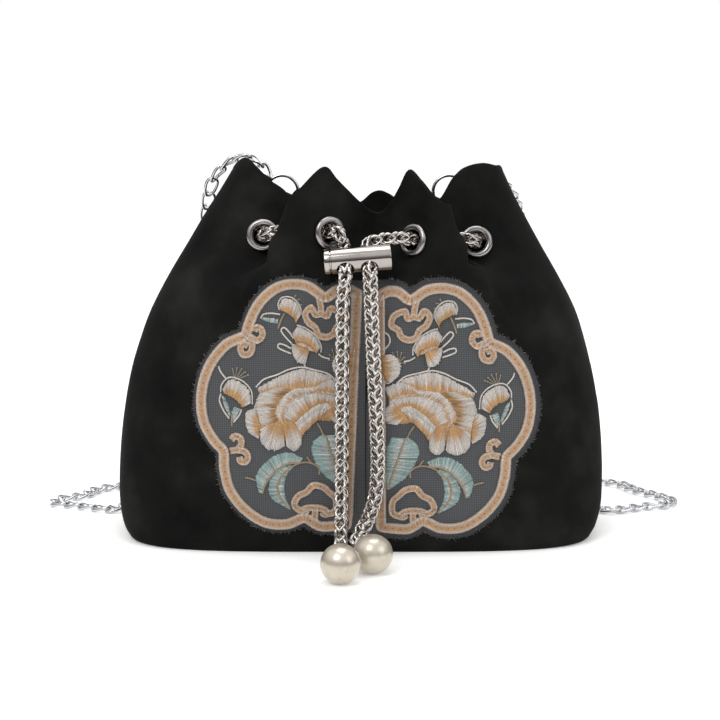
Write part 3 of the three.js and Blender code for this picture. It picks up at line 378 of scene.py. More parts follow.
def unit(vectors: Array) -> Array:
    """Vectors scaled to length 1 along their last axis."""
    return vectors / np.maximum(np.linalg.norm(vectors, axis=-1, keepdims=True), 1e-12)


def catmull_rom(points: Array, t: Array, closed: bool = False) -> Array:
    """Points of the centripetal Catmull-Rom curve through some points.

    Between two points the curve is the cubic with the tangents that the square roots of the neighbouring
    distances give.

    Args:
        points: the points to go through, one a row.
        t: places along the curve from 0 to 1.
        closed: whether the curve returns to its first point.

    Returns:
        One point for each place.
    """
    count = len(points) if closed else len(points) - 1
    if closed:
        padded = np.vstack([points[-1:], points, points[:2]])
    else:
        padded = np.vstack([2 * points[:1] - points[1:2], points, 2 * points[-1:] - points[-2:-1]])
    place = np.clip(t, 0, 1) * count
    i = np.minimum(place.astype(int), count - 1)
    w = (place - i)[:, None]
    p0, p1, p2, p3 = (padded[i + k] for k in range(4))
    d0, d1, d2 = (np.sqrt(np.maximum(np.linalg.norm(b - a, axis=1), 1e-9))[:, None]
                  for a, b in ((p0, p1), (p1, p2), (p2, p3)))
    m1 = ((p1 - p0) / d0 - (p2 - p0) / (d0 + d1) + (p2 - p1) / d1) * d1
    m2 = ((p2 - p1) / d1 - (p3 - p1) / (d1 + d2) + (p3 - p2) / d2) * d1
    return ((2 * w ** 3 - 3 * w ** 2 + 1) * p1 + (w ** 3 - 2 * w ** 2 + w) * m1
            + (3 * w ** 2 - 2 * w ** 3) * p2 + (w ** 3 - w ** 2) * m2)


def run_lengths(curve: Array) -> Array:
    """Length walked along a polyline up to each of its points."""
    return np.concatenate([[0], np.cumsum(np.linalg.norm(np.diff(curve, axis=0), axis=1))])


def evenly(points: Array, count: int, closed: bool = False) -> Array:
    """Points at equal steps of length along the smooth curve through some points.

    Args:
        points: the points to go through.
        count: how many points to return; a closed curve's end isn't repeated.
        closed: whether the curve returns to its first point.

    Returns:
        count points.
    """
    points = np.asarray(points, float)
    t = np.linspace(0, 1, CURVE_STEPS * len(points) + 1)
    walked = run_lengths(catmull_rom(points, t, closed))
    targets = np.arange(count) / (count if closed else count - 1) * walked[-1]
    return catmull_rom(points, np.interp(targets, walked, t), closed)


def drawn(points: Array, count: int) -> Array:
    """Points at equal steps along the smooth curve through some points, or along the line between two."""
    if len(points) > 2:
        return evenly(points, count)
    start, end = np.array(points)
    return start + (end - start) * np.linspace(0, 1, count)[:, None]


def smooth_length(points: Array, places: int, closed: bool = False) -> float:
    """Length of the smooth curve through some points, walked over that many places."""
    return run_lengths(catmull_rom(points, np.linspace(0, 1, places), closed))[-1]


def read_table(keys: Array, values: Array, at: Array) -> Array:
    """Smooth curve through a table: cubic pieces with the slope of the neighbouring rows at each row."""
    last = len(keys) - 1
    place = np.clip(at, keys[0], keys[-1])
    i = np.clip(np.searchsorted(keys[1:last], place), 0, last - 1)
    low, high = np.maximum(np.arange(last + 1) - 1, 0), np.minimum(np.arange(last + 1) + 1, last)
    slope = (values[high] - values[low]) / (keys[high] - keys[low])
    span = keys[i + 1] - keys[i]
    t = (place - keys[i]) / span
    return (values[i] * (2 * t ** 3 - 3 * t ** 2 + 1) + values[i + 1] * (3 * t ** 2 - 2 * t ** 3)
            + span * (slope[i] * (t ** 3 - 2 * t ** 2 + t) + slope[i + 1] * (t ** 3 - t ** 2)))


def carried_frames(curve: Array, first: Array, closed: bool = False) -> tuple[Array, Array]:
    """Normals and binormals carried along a curve without needless turning.

    Each normal is the one before it with its part along the curve taken out. On a closed curve the angle
    left over at the end is spread over the whole turn.

    Args:
        curve: the curve's points.
        first: the way that the first normal points, roughly.
        closed: whether the curve is closed.

    Returns:
        The normals and the binormals.
    """
    if closed:
        tangent = unit(np.roll(curve, -1, 0) - np.roll(curve, 1, 0))
    else:
        tangent = unit(np.gradient(curve, axis=0))
    normal = np.empty_like(curve)
    now = np.asarray(first, float)
    for i, along in enumerate(tangent):
        now = now - along * (now @ along)
        now = now / np.linalg.norm(now)
        normal[i] = now
    binormal = np.cross(tangent, normal)
    if closed:
        back = now - tangent[0] * (now @ tangent[0])
        left = np.arctan2(back @ binormal[0], back @ normal[0])
        return rolled(normal, binormal, -left * np.arange(len(curve)) / len(curve))
    return normal, binormal


def rolled(normal: Array, binormal: Array, angle: Array) -> tuple[Array, Array]:
    """Frames turned about their curve: n cos a + b sin a, and b cos a - n sin a."""
    cosine, sine = np.cos(angle)[:, None], np.sin(angle)[:, None]
    return normal * cosine + binormal * sine, binormal * cosine - normal * sine


def left_of(way: Array) -> Array:
    """Flat unit vectors a quarter turn to the left of some ways."""
    return unit(np.stack([-way[:, 1], way[:, 0]], 1))


def signed_area(ring: Array) -> float:
    """Area inside a closed flat outline, positive where it turns left: half the sum of x y' - y x'."""
    after = np.roll(ring, -1, 0)
    return (ring[:, 0] * after[:, 1] - ring[:, 1] * after[:, 0]).sum() / 2


def distance_to_line(points: Array, line: Array) -> tuple[Array, Array, Array]:
    """How flat points lie to a polyline.

    Args:
        points: flat points, one a row.
        line: the polyline's points.

    Returns:
        Distance, place along the line from 0 to 1, and +1 on its left side or -1 on its right side.
    """
    a, b = line[:-1], line[1:]
    edge = b - a
    t = np.clip(((points[:, None] - a) * edge).sum(2) / (edge ** 2).sum(1), 0, 1)
    apart = points[:, None] - (a + t[..., None] * edge)
    away = np.linalg.norm(apart, axis=2)
    near = away.argmin(1)
    row = np.arange(len(points))
    side = np.sign(edge[near, 0] * apart[row, near, 1] - edge[near, 1] * apart[row, near, 0])
    return away[row, near], (near + t[row, near]) / len(edge), side


# Skins: closed surfaces

@dataclass
class Skin:
    """One closed surface: points in millimetres, faces as rows of point numbers, values per point."""

    points: Array
    faces: list[Array]
    tint: Array | None = None

    def outward(self) -> "Skin":
        """The same skin with its faces turned outwards: its signed volume is made positive."""
        volume = 0.0
        for faces in self.faces:
            for k in range(1, faces.shape[1] - 1):
                a, b, c = (self.points[faces[:, j]] for j in (0, k, k + 1))
                volume += float((a * np.cross(b, c)).sum())
        if volume < 0:
            self.faces = [faces[:, ::-1] for faces in self.faces]
        return self


def merged(skins: list[Skin]) -> Skin:
    """Several skins as one."""
    faces: list[Array] = []
    start = 0
    for skin in skins:
        faces += [f + start for f in skin.faces]
        start += len(skin.points)
    tints = [s.tint for s in skins]
    return Skin(np.vstack([s.points for s in skins]), faces,
                None if any(t is None for t in tints) else np.vstack(tints))


def grid_faces(rows: int, columns: int, wrap_rows: bool, wrap_columns: bool) -> Array:
    """Four-cornered faces of a grid whose points are numbered row by row."""
    r = np.arange(rows if wrap_rows else rows - 1)[:, None]
    c = np.arange(columns if wrap_columns else columns - 1)[None]
    below, above = r * columns, (r + 1) % rows * columns
    after = (c + 1) % columns
    return np.stack([below + c, below + after, above + after, above + c], axis=-1).reshape(-1, 4)


def capped_loops(loops: Array) -> Skin:
    """Skin through a stack of closed loops, closed at each end with a fan to the loop's middle.

    Args:
        loops: points as stack, place round the loop, coordinate.

    Returns:
        The closed skin.
    """
    stack, round_it = loops.shape[:2]
    points = np.vstack([loops.reshape(-1, 3), loops[0].mean(0), loops[-1].mean(0)])
    c = np.arange(round_it)
    after = (c + 1) % round_it
    first, last = stack * round_it, stack * round_it + 1
    top = (stack - 1) * round_it
    fans = [np.stack([after, c, np.full_like(c, first)], 1),
            np.stack([top + c, top + after, np.full_like(c, last)], 1)]
    return Skin(points, [grid_faces(stack, round_it, False, True), *fans]).outward()


def swept(curve: Array, normal: Array, binormal: Array, profile: Array, closed: bool = False) -> Skin:
    """Profile carried along a curve: curve + first offset times normal + second times binormal.

    Args:
        curve: the curve's points.
        normal: the normals there.
        binormal: the binormals there.
        profile: closed profile, two offsets a row.
        closed: whether the curve is closed.

    Returns:
        The closed skin.
    """
    loops = curve[:, None] + profile[None, :, :1] * normal[:, None] + profile[None, :, 1:] * binormal[:, None]
    if not closed:
        return capped_loops(loops)
    return Skin(loops.reshape(-1, 3), [grid_faces(*loops.shape[:2], True, True)]).outward()


def strung(link: Skin, local: Array, starts: Array, path: Array, side: Array, up: Array) -> Skin:
    """Copies of a link bent along a path: the path's point, plus x times its side, plus y times its up.

    Args:
        link: the link, for its faces.
        local: x, y and place along the path of the points of each copy.
        starts: where each copy stands along the path.
        path: the path's points.
        side: the way to the side at each of them.
        up: the way up at each of them.

    Returns:
        All the copies as one skin.
    """
    walked = run_lengths(path)
    place = starts[:, None] + local[..., 2]
    centre, x_way, y_way = (np.stack([np.interp(place, walked, table[:, k]) for k in range(3)], -1)
                            for table in (path, side, up))
    points = centre + local[..., :1] * x_way + local[..., 1:2] * y_way
    faces = link.faces[0][None] + (np.arange(len(starts)) * len(link.points))[:, None, None]
    return Skin(points.reshape(-1, 3), [faces.reshape(-1, 4)]).outward()


def circle(radius: float, sides: int, squash: float = 1.0) -> Array:
    """Closed round profile, flattened by a share in its second offset."""
    angle = 2 * pi * np.arange(sides) / sides
    return np.stack([radius * np.cos(angle), radius * squash * np.sin(angle)], 1)


def turned(profile: Array, sides: int, solid: bool) -> Skin:
    """Profile of radius and height turned round the Z axis: (r cos a, r sin a, h).

    Args:
        profile: radius and height a row. A solid one starts and ends on the axis, another is a closed loop.
        sides: faces round the axis.
        solid: whether the profile meets the axis.

    Returns:
        The closed skin.
    """
    angle = 2 * pi * np.arange(sides) / sides
    ring = profile[1:-1] if solid else profile
    loops = np.stack([ring[:, :1] * np.cos(angle), ring[:, :1] * np.sin(angle),
                      np.repeat(ring[:, 1:], sides, 1)], -1)
    if not solid:
        return Skin(loops.reshape(-1, 3), [grid_faces(len(ring), sides, True, True)]).outward()
    skin = capped_loops(loops)
    skin.points[-2:] = [(0, 0, profile[0, 1]), (0, 0, profile[-1, 1])]
    return skin


def slab(top: Array, bottom: Array, tint: Array) -> Skin:
    """Closed skin between two grids of the same size, with walls along their four edges.

    Args:
        top: upper points as row, column, coordinate.
        bottom: lower points, one under each upper point.
        tint: linear colour of each upper point, used for the lower one too.

    Returns:
        The closed skin.
    """
    rows, columns = top.shape[:2]
    size = rows * columns
    upper = grid_faces(rows, columns, False, False)
    number = np.arange(size).reshape(rows, columns)
    rim = np.concatenate([number[0, :-1], number[:-1, -1], number[-1, :0:-1], number[:0:-1, 0]])
    after = np.roll(rim, -1)
    walls = np.stack([after, rim, rim + size, after + size], 1)
    colours = np.tile(tint.reshape(-1, 3), (2, 1))
    return Skin(np.vstack([top.reshape(-1, 3), bottom.reshape(-1, 3)]),
                [upper, upper[:, ::-1] + size, walls], colours).outward()


def moved_to(skin: Skin, x_axis: Array, y_axis: Array, z_axis: Array, origin: Array) -> Skin:
    """The skin carried into a frame: its x, y and z times the frame's axes, from the frame's origin."""
    skin.points = skin.points @ np.stack([x_axis, y_axis, z_axis]) + origin
    return skin.outward()


# Pieces

def make_mesh(name: str, skin: Skin) -> bpy.types.Object:
    """Mesh object of a skin, in metres, with smooth faces and the skin's tint as a point attribute."""
    mesh = bpy.data.meshes.new(name)
    mesh.from_pydata((skin.points * MM).tolist(), [], [row for faces in skin.faces for row in faces.tolist()])
    mesh.update()
    if skin.tint is not None:
        layer = mesh.color_attributes.new("tint", "FLOAT_COLOR", "POINT")
        colours = np.hstack([skin.tint, np.ones((len(skin.tint), 1))]).astype(np.float32)
        layer.data.foreach_set("color", colours.ravel())
    mesh.polygons.foreach_set("use_smooth", np.ones(len(mesh.polygons), bool))
    piece = bpy.data.objects.new(name, mesh)
    bpy.context.scene.collection.objects.link(piece)
    return piece


def dress(piece: bpy.types.Object, material: bpy.types.Material,
          replaced: tuple[str, ...] = ()) -> None:
    """Gives a finished piece its material, body and the frame nodes it stands for, and logs it.

    Args:
        piece: the finished piece.
        material: its material.
        replaced: names of the frame's nodes that it stands for.
    """
    if not any(piece.data.materials):
        piece.data.materials.clear()
        piece.data.materials.append(material)
    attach(piece, BODY)
    if replaced:
        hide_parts(*replaced)
    log.info("%s: %d faces", piece.name, len(piece.data.polygons))


def cut(piece: bpy.types.Object, tools: Skin) -> None:
    """Cuts some closed shapes out of a piece and keeps the result in its mesh."""
    tool = make_mesh("cutter", tools)
    cutting = piece.modifiers.new("cut", "BOOLEAN")
    cutting.operation, cutting.solver, cutting.object = "DIFFERENCE", "MANIFOLD", tool
    evaluated = piece.evaluated_get(bpy.context.evaluated_depsgraph_get())
    result = bpy.data.meshes.new_from_object(evaluated)
    piece.modifiers.clear()
    piece.data = result
    result.polygons.foreach_set("use_smooth", np.ones(len(result.polygons), bool))
    bpy.data.objects.remove(tool)


def sharpen(piece: bpy.types.Object, angle: float) -> None:
    """Keeps edges sharper than an angle in degrees crisp."""
    piece.data.set_sharp_from_angle(angle=radians(angle))


# Materials

def add_node(tree: bpy.types.NodeTree, kind: str, inputs: dict | None = None,
             stops: tuple[tuple[float, str], ...] = (), **settings: object) -> bpy.types.Node:
    """Adds a node with its settings, constants and links.

    Args:
        tree: the node tree.
        kind: the node's type name.
        inputs: socket name or number to a constant or to another node's output socket.
        stops: place and sRGB hex colour of each stop, where the node has a colour ramp.
        settings: properties of the node.

    Returns:
        The node.
    """
    node = tree.nodes.new(kind)
    for name, value in settings.items():
        setattr(node, name, value)
    for name, value in (inputs or {}).items():
        if isinstance(value, bpy.types.NodeSocket):
            tree.links.new(value, node.inputs[name])
        else:
            node.inputs[name].default_value = value
    if stops:
        elements = node.color_ramp.elements
        while len(elements) < len(stops):
            elements.new(0.5)
        for element, (place, code) in zip(elements, stops):
            element.position, element.color = place, rgba(code)
    return node


def per_metre(millimetres: float) -> float:
    """Scale of a texture whose features are that many millimetres apart."""
    return 1 / (millimetres * MM)


@dataclass(frozen=True)
class Finish:
    """A material: its name and the constants of its surface."""

    name: str
    colours: tuple[str, ...]
    roughness: tuple[float, float]
    metallic: float = 0.0
    sheen: float = 0.0
    sheen_tint: str = "#FFFFFF"
    sheen_roughness: float = 0.4
    coat: float = 0.0
    coat_roughness: float = 0.05
    grain_mm: float = 0.5
    cloud_mm: float = 20.0
    grain_depth_mm: float = 0.05
    tinted: bool = False
    glow: float = 0.0
    specular: float = 0.5

    def surface_noise(self, tree: bpy.types.NodeTree) -> tuple[bpy.types.NodeSocket, bpy.types.NodeSocket]:
        """Fine grain and broad clouds of the surface, on Object coordinates, as two factors."""
        place = add_node(tree, "ShaderNodeTexCoord").outputs["Object"]
        grain, cloud = (add_node(tree, "ShaderNodeTexNoise", {
            "Vector": place, "Scale": per_metre(size), "Detail": detail})
            for size, detail in ((self.grain_mm, 2.0), (self.cloud_mm, 4.0)))
        return grain.outputs["Fac"], cloud.outputs["Fac"]

    def build(self) -> bpy.types.Material:
        """The material: colour clouds or the piece's own tint, uneven roughness, and the grain as relief."""
        material = bpy.data.materials.new(self.name)
        material.use_nodes = True
        tree = material.node_tree
        tree.nodes.clear()
        grain, cloud = self.surface_noise(tree)
        last = len(self.colours) - 1
        stops = tuple((NOISE_LOW + (NOISE_HIGH - NOISE_LOW) * i / last, code)
                      for i, code in enumerate(self.colours))
        if self.tinted:
            tint = add_node(tree, "ShaderNodeAttribute", attribute_name="tint").outputs["Color"]
            shade = add_node(tree, "ShaderNodeValToRGB", {0: grain}, stops=stops).outputs["Color"]
            colour = add_node(tree, "ShaderNodeMix", {0: 1.0, 6: tint, 7: shade}, data_type="RGBA",
                              blend_type="MULTIPLY").outputs[2]
        else:
            colour = add_node(tree, "ShaderNodeValToRGB", {0: cloud}, stops=stops).outputs["Color"]
        rough = add_node(tree, "ShaderNodeMapRange", {
            "Value": cloud, "From Min": NOISE_LOW, "From Max": NOISE_HIGH,
            "To Min": self.roughness[0], "To Max": self.roughness[1]})
        relief = add_node(tree, "ShaderNodeBump", {
            "Height": grain, "Distance": self.grain_depth_mm * MM, "Strength": 1.0})
        shader = add_node(tree, "ShaderNodeBsdfPrincipled", {
            "Base Color": colour, "Roughness": rough.outputs[0], "Metallic": self.metallic,
            "Sheen Weight": self.sheen, "Sheen Tint": rgba(self.sheen_tint),
            "Sheen Roughness": self.sheen_roughness,
            "Coat Weight": self.coat, "Coat Roughness": self.coat_roughness,
            "Emission Color": rgba("#FFFFFF"), "Emission Strength": self.glow,
            "Specular IOR Level": self.specular, "Normal": relief.outputs["Normal"]})
        add_node(tree, "ShaderNodeOutputMaterial", {"Surface": shader.outputs[0]})
        return material


@dataclass(frozen=True)
class WovenFinish(Finish):
    """A plain woven cloth: threads cross at right angles, seen as a fine check in colour and relief."""

    thread_mm: float = 0.8

    def surface_noise(self, tree: bpy.types.NodeTree) -> tuple[bpy.types.NodeSocket, bpy.types.NodeSocket]:
        """Crossing threads across and up the front, and broad clouds, as two factors."""
        place = add_node(tree, "ShaderNodeTexCoord").outputs["Object"]
        scale = per_metre(self.thread_mm) * WAVE_PERIOD
        waves = [add_node(tree, "ShaderNodeTexWave", {"Vector": place, "Scale": scale, "Distortion": 0.4,
                                                      "Detail Scale": 2.0},
                          wave_type="BANDS", bands_direction=way).outputs["Fac"] for way in ("X", "Z")]
        both = add_node(tree, "ShaderNodeMath", {0: waves[0], 1: waves[1]}, operation="MULTIPLY")
        cloud = add_node(tree, "ShaderNodeTexNoise", {"Vector": place, "Scale": per_metre(self.cloud_mm),
                                                      "Detail": 4.0})
        return both.outputs[0], cloud.outputs["Fac"]


class Materials:
    """Every material of the bag, made once."""

    def __init__(self) -> None:
        """Builds the materials."""
        # Short cut pile: nearly black head on, a soft grey bloom where it turns away. The lighter clouds are
        # patches of crushed pile, with their sheen painted into the colour as lighter grey
        self.velvet = Finish("cut_pile_velvet", ("#0D0D0D", "#161615", "#232321"), (0.8, 0.95),
                             sheen=0.045, sheen_tint="#B8B4B0", sheen_roughness=0.25, specular=0.06,
                             grain_mm=0.9, cloud_mm=26, grain_depth_mm=0.12).build()
        # Smooth woven lining: a little gloss inside the mouth
        self.lining = Finish("woven_satin_lining", ("#0E0D0E", "#171617"), (0.45, 0.6), specular=0.2,
                             grain_mm=0.6, cloud_mm=15, grain_depth_mm=0.03).build()
        # Brass pressed and plated dark: dark mirror with fine handling marks
        self.gunmetal = Finish("gunmetal_plated_brass", ("#918D8C", "#A5A1A0"), (0.2, 0.3), metallic=1.0,
                               grain_mm=1.2, cloud_mm=6, grain_depth_mm=0.004).build()
        # Soldered nickel plated wire: bright, slightly warm
        self.nickel = Finish("nickel_plated_wire", ("#B3ADA8", "#C6C1BC"), (0.12, 0.22), metallic=1.0,
                             grain_mm=1.0, cloud_mm=8, grain_depth_mm=0.003).build()
        # Diamond cut nickel plated curb: brighter and cooler than the drawstring
        self.curb = Finish("nickel_plated_curb", ("#C2C3C6", "#D4D5D8"), (0.1, 0.2), metallic=1.0,
                           grain_mm=1.0, cloud_mm=8, grain_depth_mm=0.003).build()
        # Turned and mirror polished steel
        self.steel = Finish("mirror_polished_steel", ("#A29C97", "#B0AAA5"), (0.06, 0.12), metallic=1.0,
                            grain_mm=2.0, cloud_mm=12, grain_depth_mm=0.002).build()
        # Coated glass pearl: cream body under a clear lustre coat
        self.pearl = Finish("coated_glass_pearl", ("#BDB3A2", "#CAC2B4"), (0.27, 0.33), metallic=0.56,
                            coat=0.5, coat_roughness=0.1, grain_mm=3.0, cloud_mm=5,
                            grain_depth_mm=0.01).build()
        # Sheer organza over black: grey, with the weave just showing
        self.organza = WovenFinish("woven_organza", ("#424345", "#626466"), (0.5, 0.7), specular=0.2,
                                   cloud_mm=18, grain_depth_mm=0.06, tinted=True).build()
        # Rayon embroidery thread: silky, its colour from the stitch
        self.thread = Finish("rayon_stitching", ("#C9C9C9", "#FFFFFF"), (0.4, 0.55), sheen=0.15,
                             grain_mm=0.45, cloud_mm=6, grain_depth_mm=0.05, tinted=True).build()
        # Plain cotton tape
        self.tape = Finish("woven_cotton_tape", ("#121111", "#1C1B1B"), (0.8, 0.95), grain_mm=0.5, cloud_mm=5,
                           grain_depth_mm=0.08).build()


# The bag's cloth

@dataclass
class BagCloth:
    """The velvet bag: one soft surface, given by the share u of the way round it and by the height.

    Lengths are in millimetres. The eyelets' level and the pleats' start and end are shares of the height.
    The seat is how far from an eyelet's axis the cloth is pressed flat, wholly and at all.
    """

    width: float = 222.6
    depth: float = 115.0
    height: float = 172.0
    wall: float = 2.2
    floor: float = 2.6
    eyelet_level: float = 0.8023
    eyelet_radius: float = 7.5
    pleats_start: float = 0.66
    pleats_full: float = 0.825
    columns: int = 420
    wall_rows: int = 122
    inner_rows: int = 40
    rim_steps: int = 7
    seat: tuple[float, float] = (8.2, 14.0)
    hole_radius: float = 5.1
    u_steps: int = 1440
    u_reach: float = 0.002
    foot: float = 2.0
    facing_rows: int = 8
    floor_rings: tuple[float, ...] = (0.98, 0.9, 0.7, 0.4, 0.05)
    neck: Array = field(init=False)
    turn: Array = field(init=False)
    row_u: Array = field(init=False)
    table: Array = field(init=False)
    perimeter: float = field(init=False)

    def __post_init__(self) -> None:
        """Works out the table of the plan at every millimetre of height."""
        self.neck = self.section(np.array([self.eyelet_level * self.height]))
        self.turn = self.whole_turn()
        places = np.linspace(0, 1, CURVE_STEPS * len(self.turn) + 1)
        curve = catmull_rom(self.turn[:, :2] * self.neck[0, :2], places, True)
        walked = run_lengths(curve) / run_lengths(curve)[-1]
        self.row_u = walked[:-1:CURVE_STEPS]
        u = np.arange(self.u_steps) / self.u_steps
        pleated = np.stack([np.interp(u, walked, curve[:, k]) for k in (0, 1)], 1)
        levels = np.arange(0, self.height + 1)
        rows = self.section(levels)
        share = smoothstep(self.pleats_start, self.pleats_full, levels / self.height)
        self.table = np.stack([self.plan(row, pleated, w) for row, w in zip(rows, share)])
        self.perimeter = run_lengths(pleated)[-1]

    @staticmethod
    def whole_turn() -> Array:
        """Rows of x, y and rim for the whole turn: the front, then the back as its mirror."""
        back = PLEATS[-2:0:-1]
        return np.vstack([PLEATS[:, :3], np.stack([back[:, 0], -back[:, 1], back[:, 3]], 1)])

    def section(self, heights: Array) -> Array:
        """Half width, half depth, lean and power at some heights."""
        values = [read_table(SECTIONS[:, 0], SECTIONS[:, k], heights / self.height) for k in (1, 2, 3, 4)]
        scale = (self.width / 2, self.depth / 2, self.width / 2, 1)
        return np.stack([v * s for v, s in zip(values, scale)], -1)

    def plan(self, row: Array, pleated: Array, share: float) -> Array:
        """Plan of one level: the rounded rectangle walked by its length, blended into the pleated curve.

        Args:
            row: half width, half depth, lean and power of the level.
            pleated: the pleated curve at the neck.
            share: how far the pleats have grown.

        Returns:
            x and y at each step round the bag.
        """
        angle = pi + 2 * pi * np.arange(64) / 64
        power = 2 / row[3]
        corner = [np.sign(f) * np.abs(f) ** power for f in (np.cos(angle), np.sin(angle))]
        full = evenly(np.stack([row[0] * corner[0], row[1] * corner[1]], 1), self.u_steps, True)
        narrowed = pleated * row[:2] / self.neck[0, :2]
        return full * (1 - share) + narrowed * share + [row[2], 0]

    def plan_at(self, u: Array, height: Array) -> Array:
        """x and y of the plan at u and height, between the table's values."""
        place = (u % 1) * self.u_steps
        column = place.astype(int) % self.u_steps
        after = (column + 1) % self.u_steps
        across = (place - place.astype(int))[..., None]
        level = np.clip(height, 0, len(self.table) - 1.001)
        row = level.astype(int)
        up = (level - row)[..., None]
        low = self.table[row, column] * (1 - across) + self.table[row, after] * across
        high = self.table[row + 1, column] * (1 - across) + self.table[row + 1, after] * across
        return low * (1 - up) + high * up

    def bare(self, u: Array, height: Array, offset: Array | float = 0.0) -> Array:
        """Points of the cloth before its soft folds: the plan, moved out along the plan's normal."""
        way = self.plan_at(u + self.u_reach, height) - self.plan_at(u - self.u_reach, height)
        out = unit(np.stack([way[..., 1], -way[..., 0]], -1)) * np.asarray(offset)[..., None]
        return np.concatenate([self.plan_at(u, height) + out, height[..., None]], -1)

    def softness(self, u: Array, height: Array) -> Array:
        """How far the cloth gives way from its plain form, in millimetres outwards.

        It is the sum of three slow waves round the bag, full from 45 to 100 millimetres of height, and of
        the creases, each a smooth ridge that falls off with the distance from its line.
        """
        belly = smoothstep(6, 45, height) * (1 - smoothstep(100, 135, height))
        waves = (np.sin(2 * pi * (7 * u + 0.13) + height / 34)
                 + 0.7 * np.sin(2 * pi * (13 * u + 0.4) - height / 22)
                 + 0.5 * np.sin(2 * pi * (23 * u + 0.71) + height / 15))
        give = 0.28 * belly * waves
        plain = self.bare(u, height)
        flat = plain[..., [0, 2]].reshape(-1, 2)
        facing = np.abs(plain[..., 1]) > 0.2 * self.depth / 2
        for line, left, right, rise in CREASES:
            away, along, side = distance_to_line(flat, evenly(line, 24))
            fall = np.exp(-(away / np.where(side > 0, left, right)) ** 2)
            ridge = rise * fall * smoothstep(0, 0.12, along) * (1 - smoothstep(0.7, 1, along))
            give = give + ridge.reshape(u.shape) * facing
        return give * smoothstep(2, 10, height)

    def rim(self, u: Array) -> Array:
        """Height of the rim at u."""
        keys, values = np.append(self.row_u, 1), np.append(self.turn[:, 2], self.turn[0, 2])
        return self.height * read_table(keys, values, u % 1)

    def eyelets(self) -> dict[str, dict[str, Array]]:
        """Centre, way along, way up and way out of each eyelet."""
        frames = {}
        last = len(self.turn)
        for side, sign in (("front", 1), ("back", -1)):
            for name, (row, lift) in EYELET_ROWS.items():
                u = np.array(self.row_u[row if sign > 0 else last - row])
                height = np.array(self.eyelet_level * self.height + lift)
                step, rise = self.eyelet_radius / self.perimeter, self.eyelet_radius
                along = unit(self.bare(u + step, height) - self.bare(u - step, height))
                up = unit(self.bare(u, height + rise) - self.bare(u, height - rise))
                out = unit(np.cross(along, up))
                frames[f"{side}_{name}"] = {"u": u, "along": along, "up": np.cross(out, along), "out": out,
                                            "centre": self.bare(u, height)}
        return frames

    def seated(self, points: Array, u: Array, offset: float) -> Array:
        """Points pressed flat round each eyelet, as the ring clamps the cloth.

        Within the seat's inner radius a point's distance along the eyelet's axis becomes the offset, and it
        returns to its own by the outer radius.
        """
        points = points.copy()
        for eyelet in self.eyelets().values():
            gap = np.abs((u - eyelet["u"] + 0.5) % 1 - 0.5) * self.perimeter
            local = points - eyelet["centre"]
            deep = local @ eyelet["out"]
            away = np.hypot(local @ eyelet["along"], local @ eyelet["up"])
            hold = (1 - smoothstep(*self.seat, away)) * (gap < self.seat[1] + 2)
            points += (hold * (offset - deep))[..., None] * eyelet["out"]
        return points

    def outer(self, u: Array, height: Array) -> Array:
        """Points of the cloth's outer face."""
        return self.seated(self.bare(u, height, self.softness(u, height)), u, 0.0)

    def inner(self, u: Array, height: Array) -> Array:
        """Points of the cloth's inner face."""
        return self.seated(self.bare(u, height, -self.wall), u, -self.wall)

    def shell(self) -> tuple[Skin, int]:
        """The closed bag: under the floor, up the outside, over the rim, down the inside and over the floor.

        Returns:
            The skin, and how many of its rows of points come before the inner face.
        """
        u = np.arange(self.columns) / self.columns
        edge = self.wall / 2
        top = self.rim(u) - edge
        base = self.outer(u, np.full_like(u, self.foot))

        def shrunk(loop: Array, share: float, height: float) -> Array:
            """A loop drawn in towards the bag's middle, at one height."""
            return np.concatenate([loop[:, :2] * share, np.full((len(loop), 1), height)], 1)

        under = [shrunk(base, share, height) for share, height in UNDERSIDE]
        outside = [self.outer(u, self.foot + (top - self.foot) * v)
                   for v in np.linspace(0, 1, self.wall_rows)]
        inner_top, outer_top = self.inner(u, top), outside[-1]
        centre, reach = (outer_top + inner_top) / 2, (outer_top - inner_top) / 2
        roll = [centre + reach * np.cos(a) + np.array([0, 0, edge]) * np.sin(a)
                for a in np.linspace(0, pi, self.rim_steps + 2)[1:-1]]
        low = self.floor + 1
        inside = [self.inner(u, low + (top - low) * v) for v in np.linspace(1, 0, self.inner_rows)]
        floor = [shrunk(inside[-1], share, self.floor) for share in self.floor_rings]
        rows_above = len(under) + len(outside) + len(roll)
        return capped_loops(np.stack([*under, *outside, *roll, *inside, *floor])), rows_above

    def build(self, materials: Materials) -> None:
        """The velvet bag with its holes cut and its lining as a second material."""
        skin, rows_above = self.shell()
        piece = make_mesh("bag_velvet", skin)
        radius, low, high = self.hole_radius, -self.wall - 3, 3.0
        rod = np.array([(0, low), (radius, low), (radius, high), (0, high)])
        posts = [moved_to(turned(rod, 32, True), eyelet["along"], eyelet["up"], eyelet["out"],
                          eyelet["centre"]) for eyelet in self.eyelets().values()]
        piece.data.materials.append(materials.velvet)
        piece.data.materials.append(materials.lining)
        first = rows_above + self.facing_rows
        last = rows_above + self.inner_rows + len(self.floor_rings) - 1
        lined = np.zeros(len(piece.data.polygons), np.int32)
        lined[first * self.columns:last * self.columns] = 1
        piece.data.polygons.foreach_set("material_index", lined)
        cut(piece, merged(posts))
        dress(piece, materials.velvet, ("bag_body",))


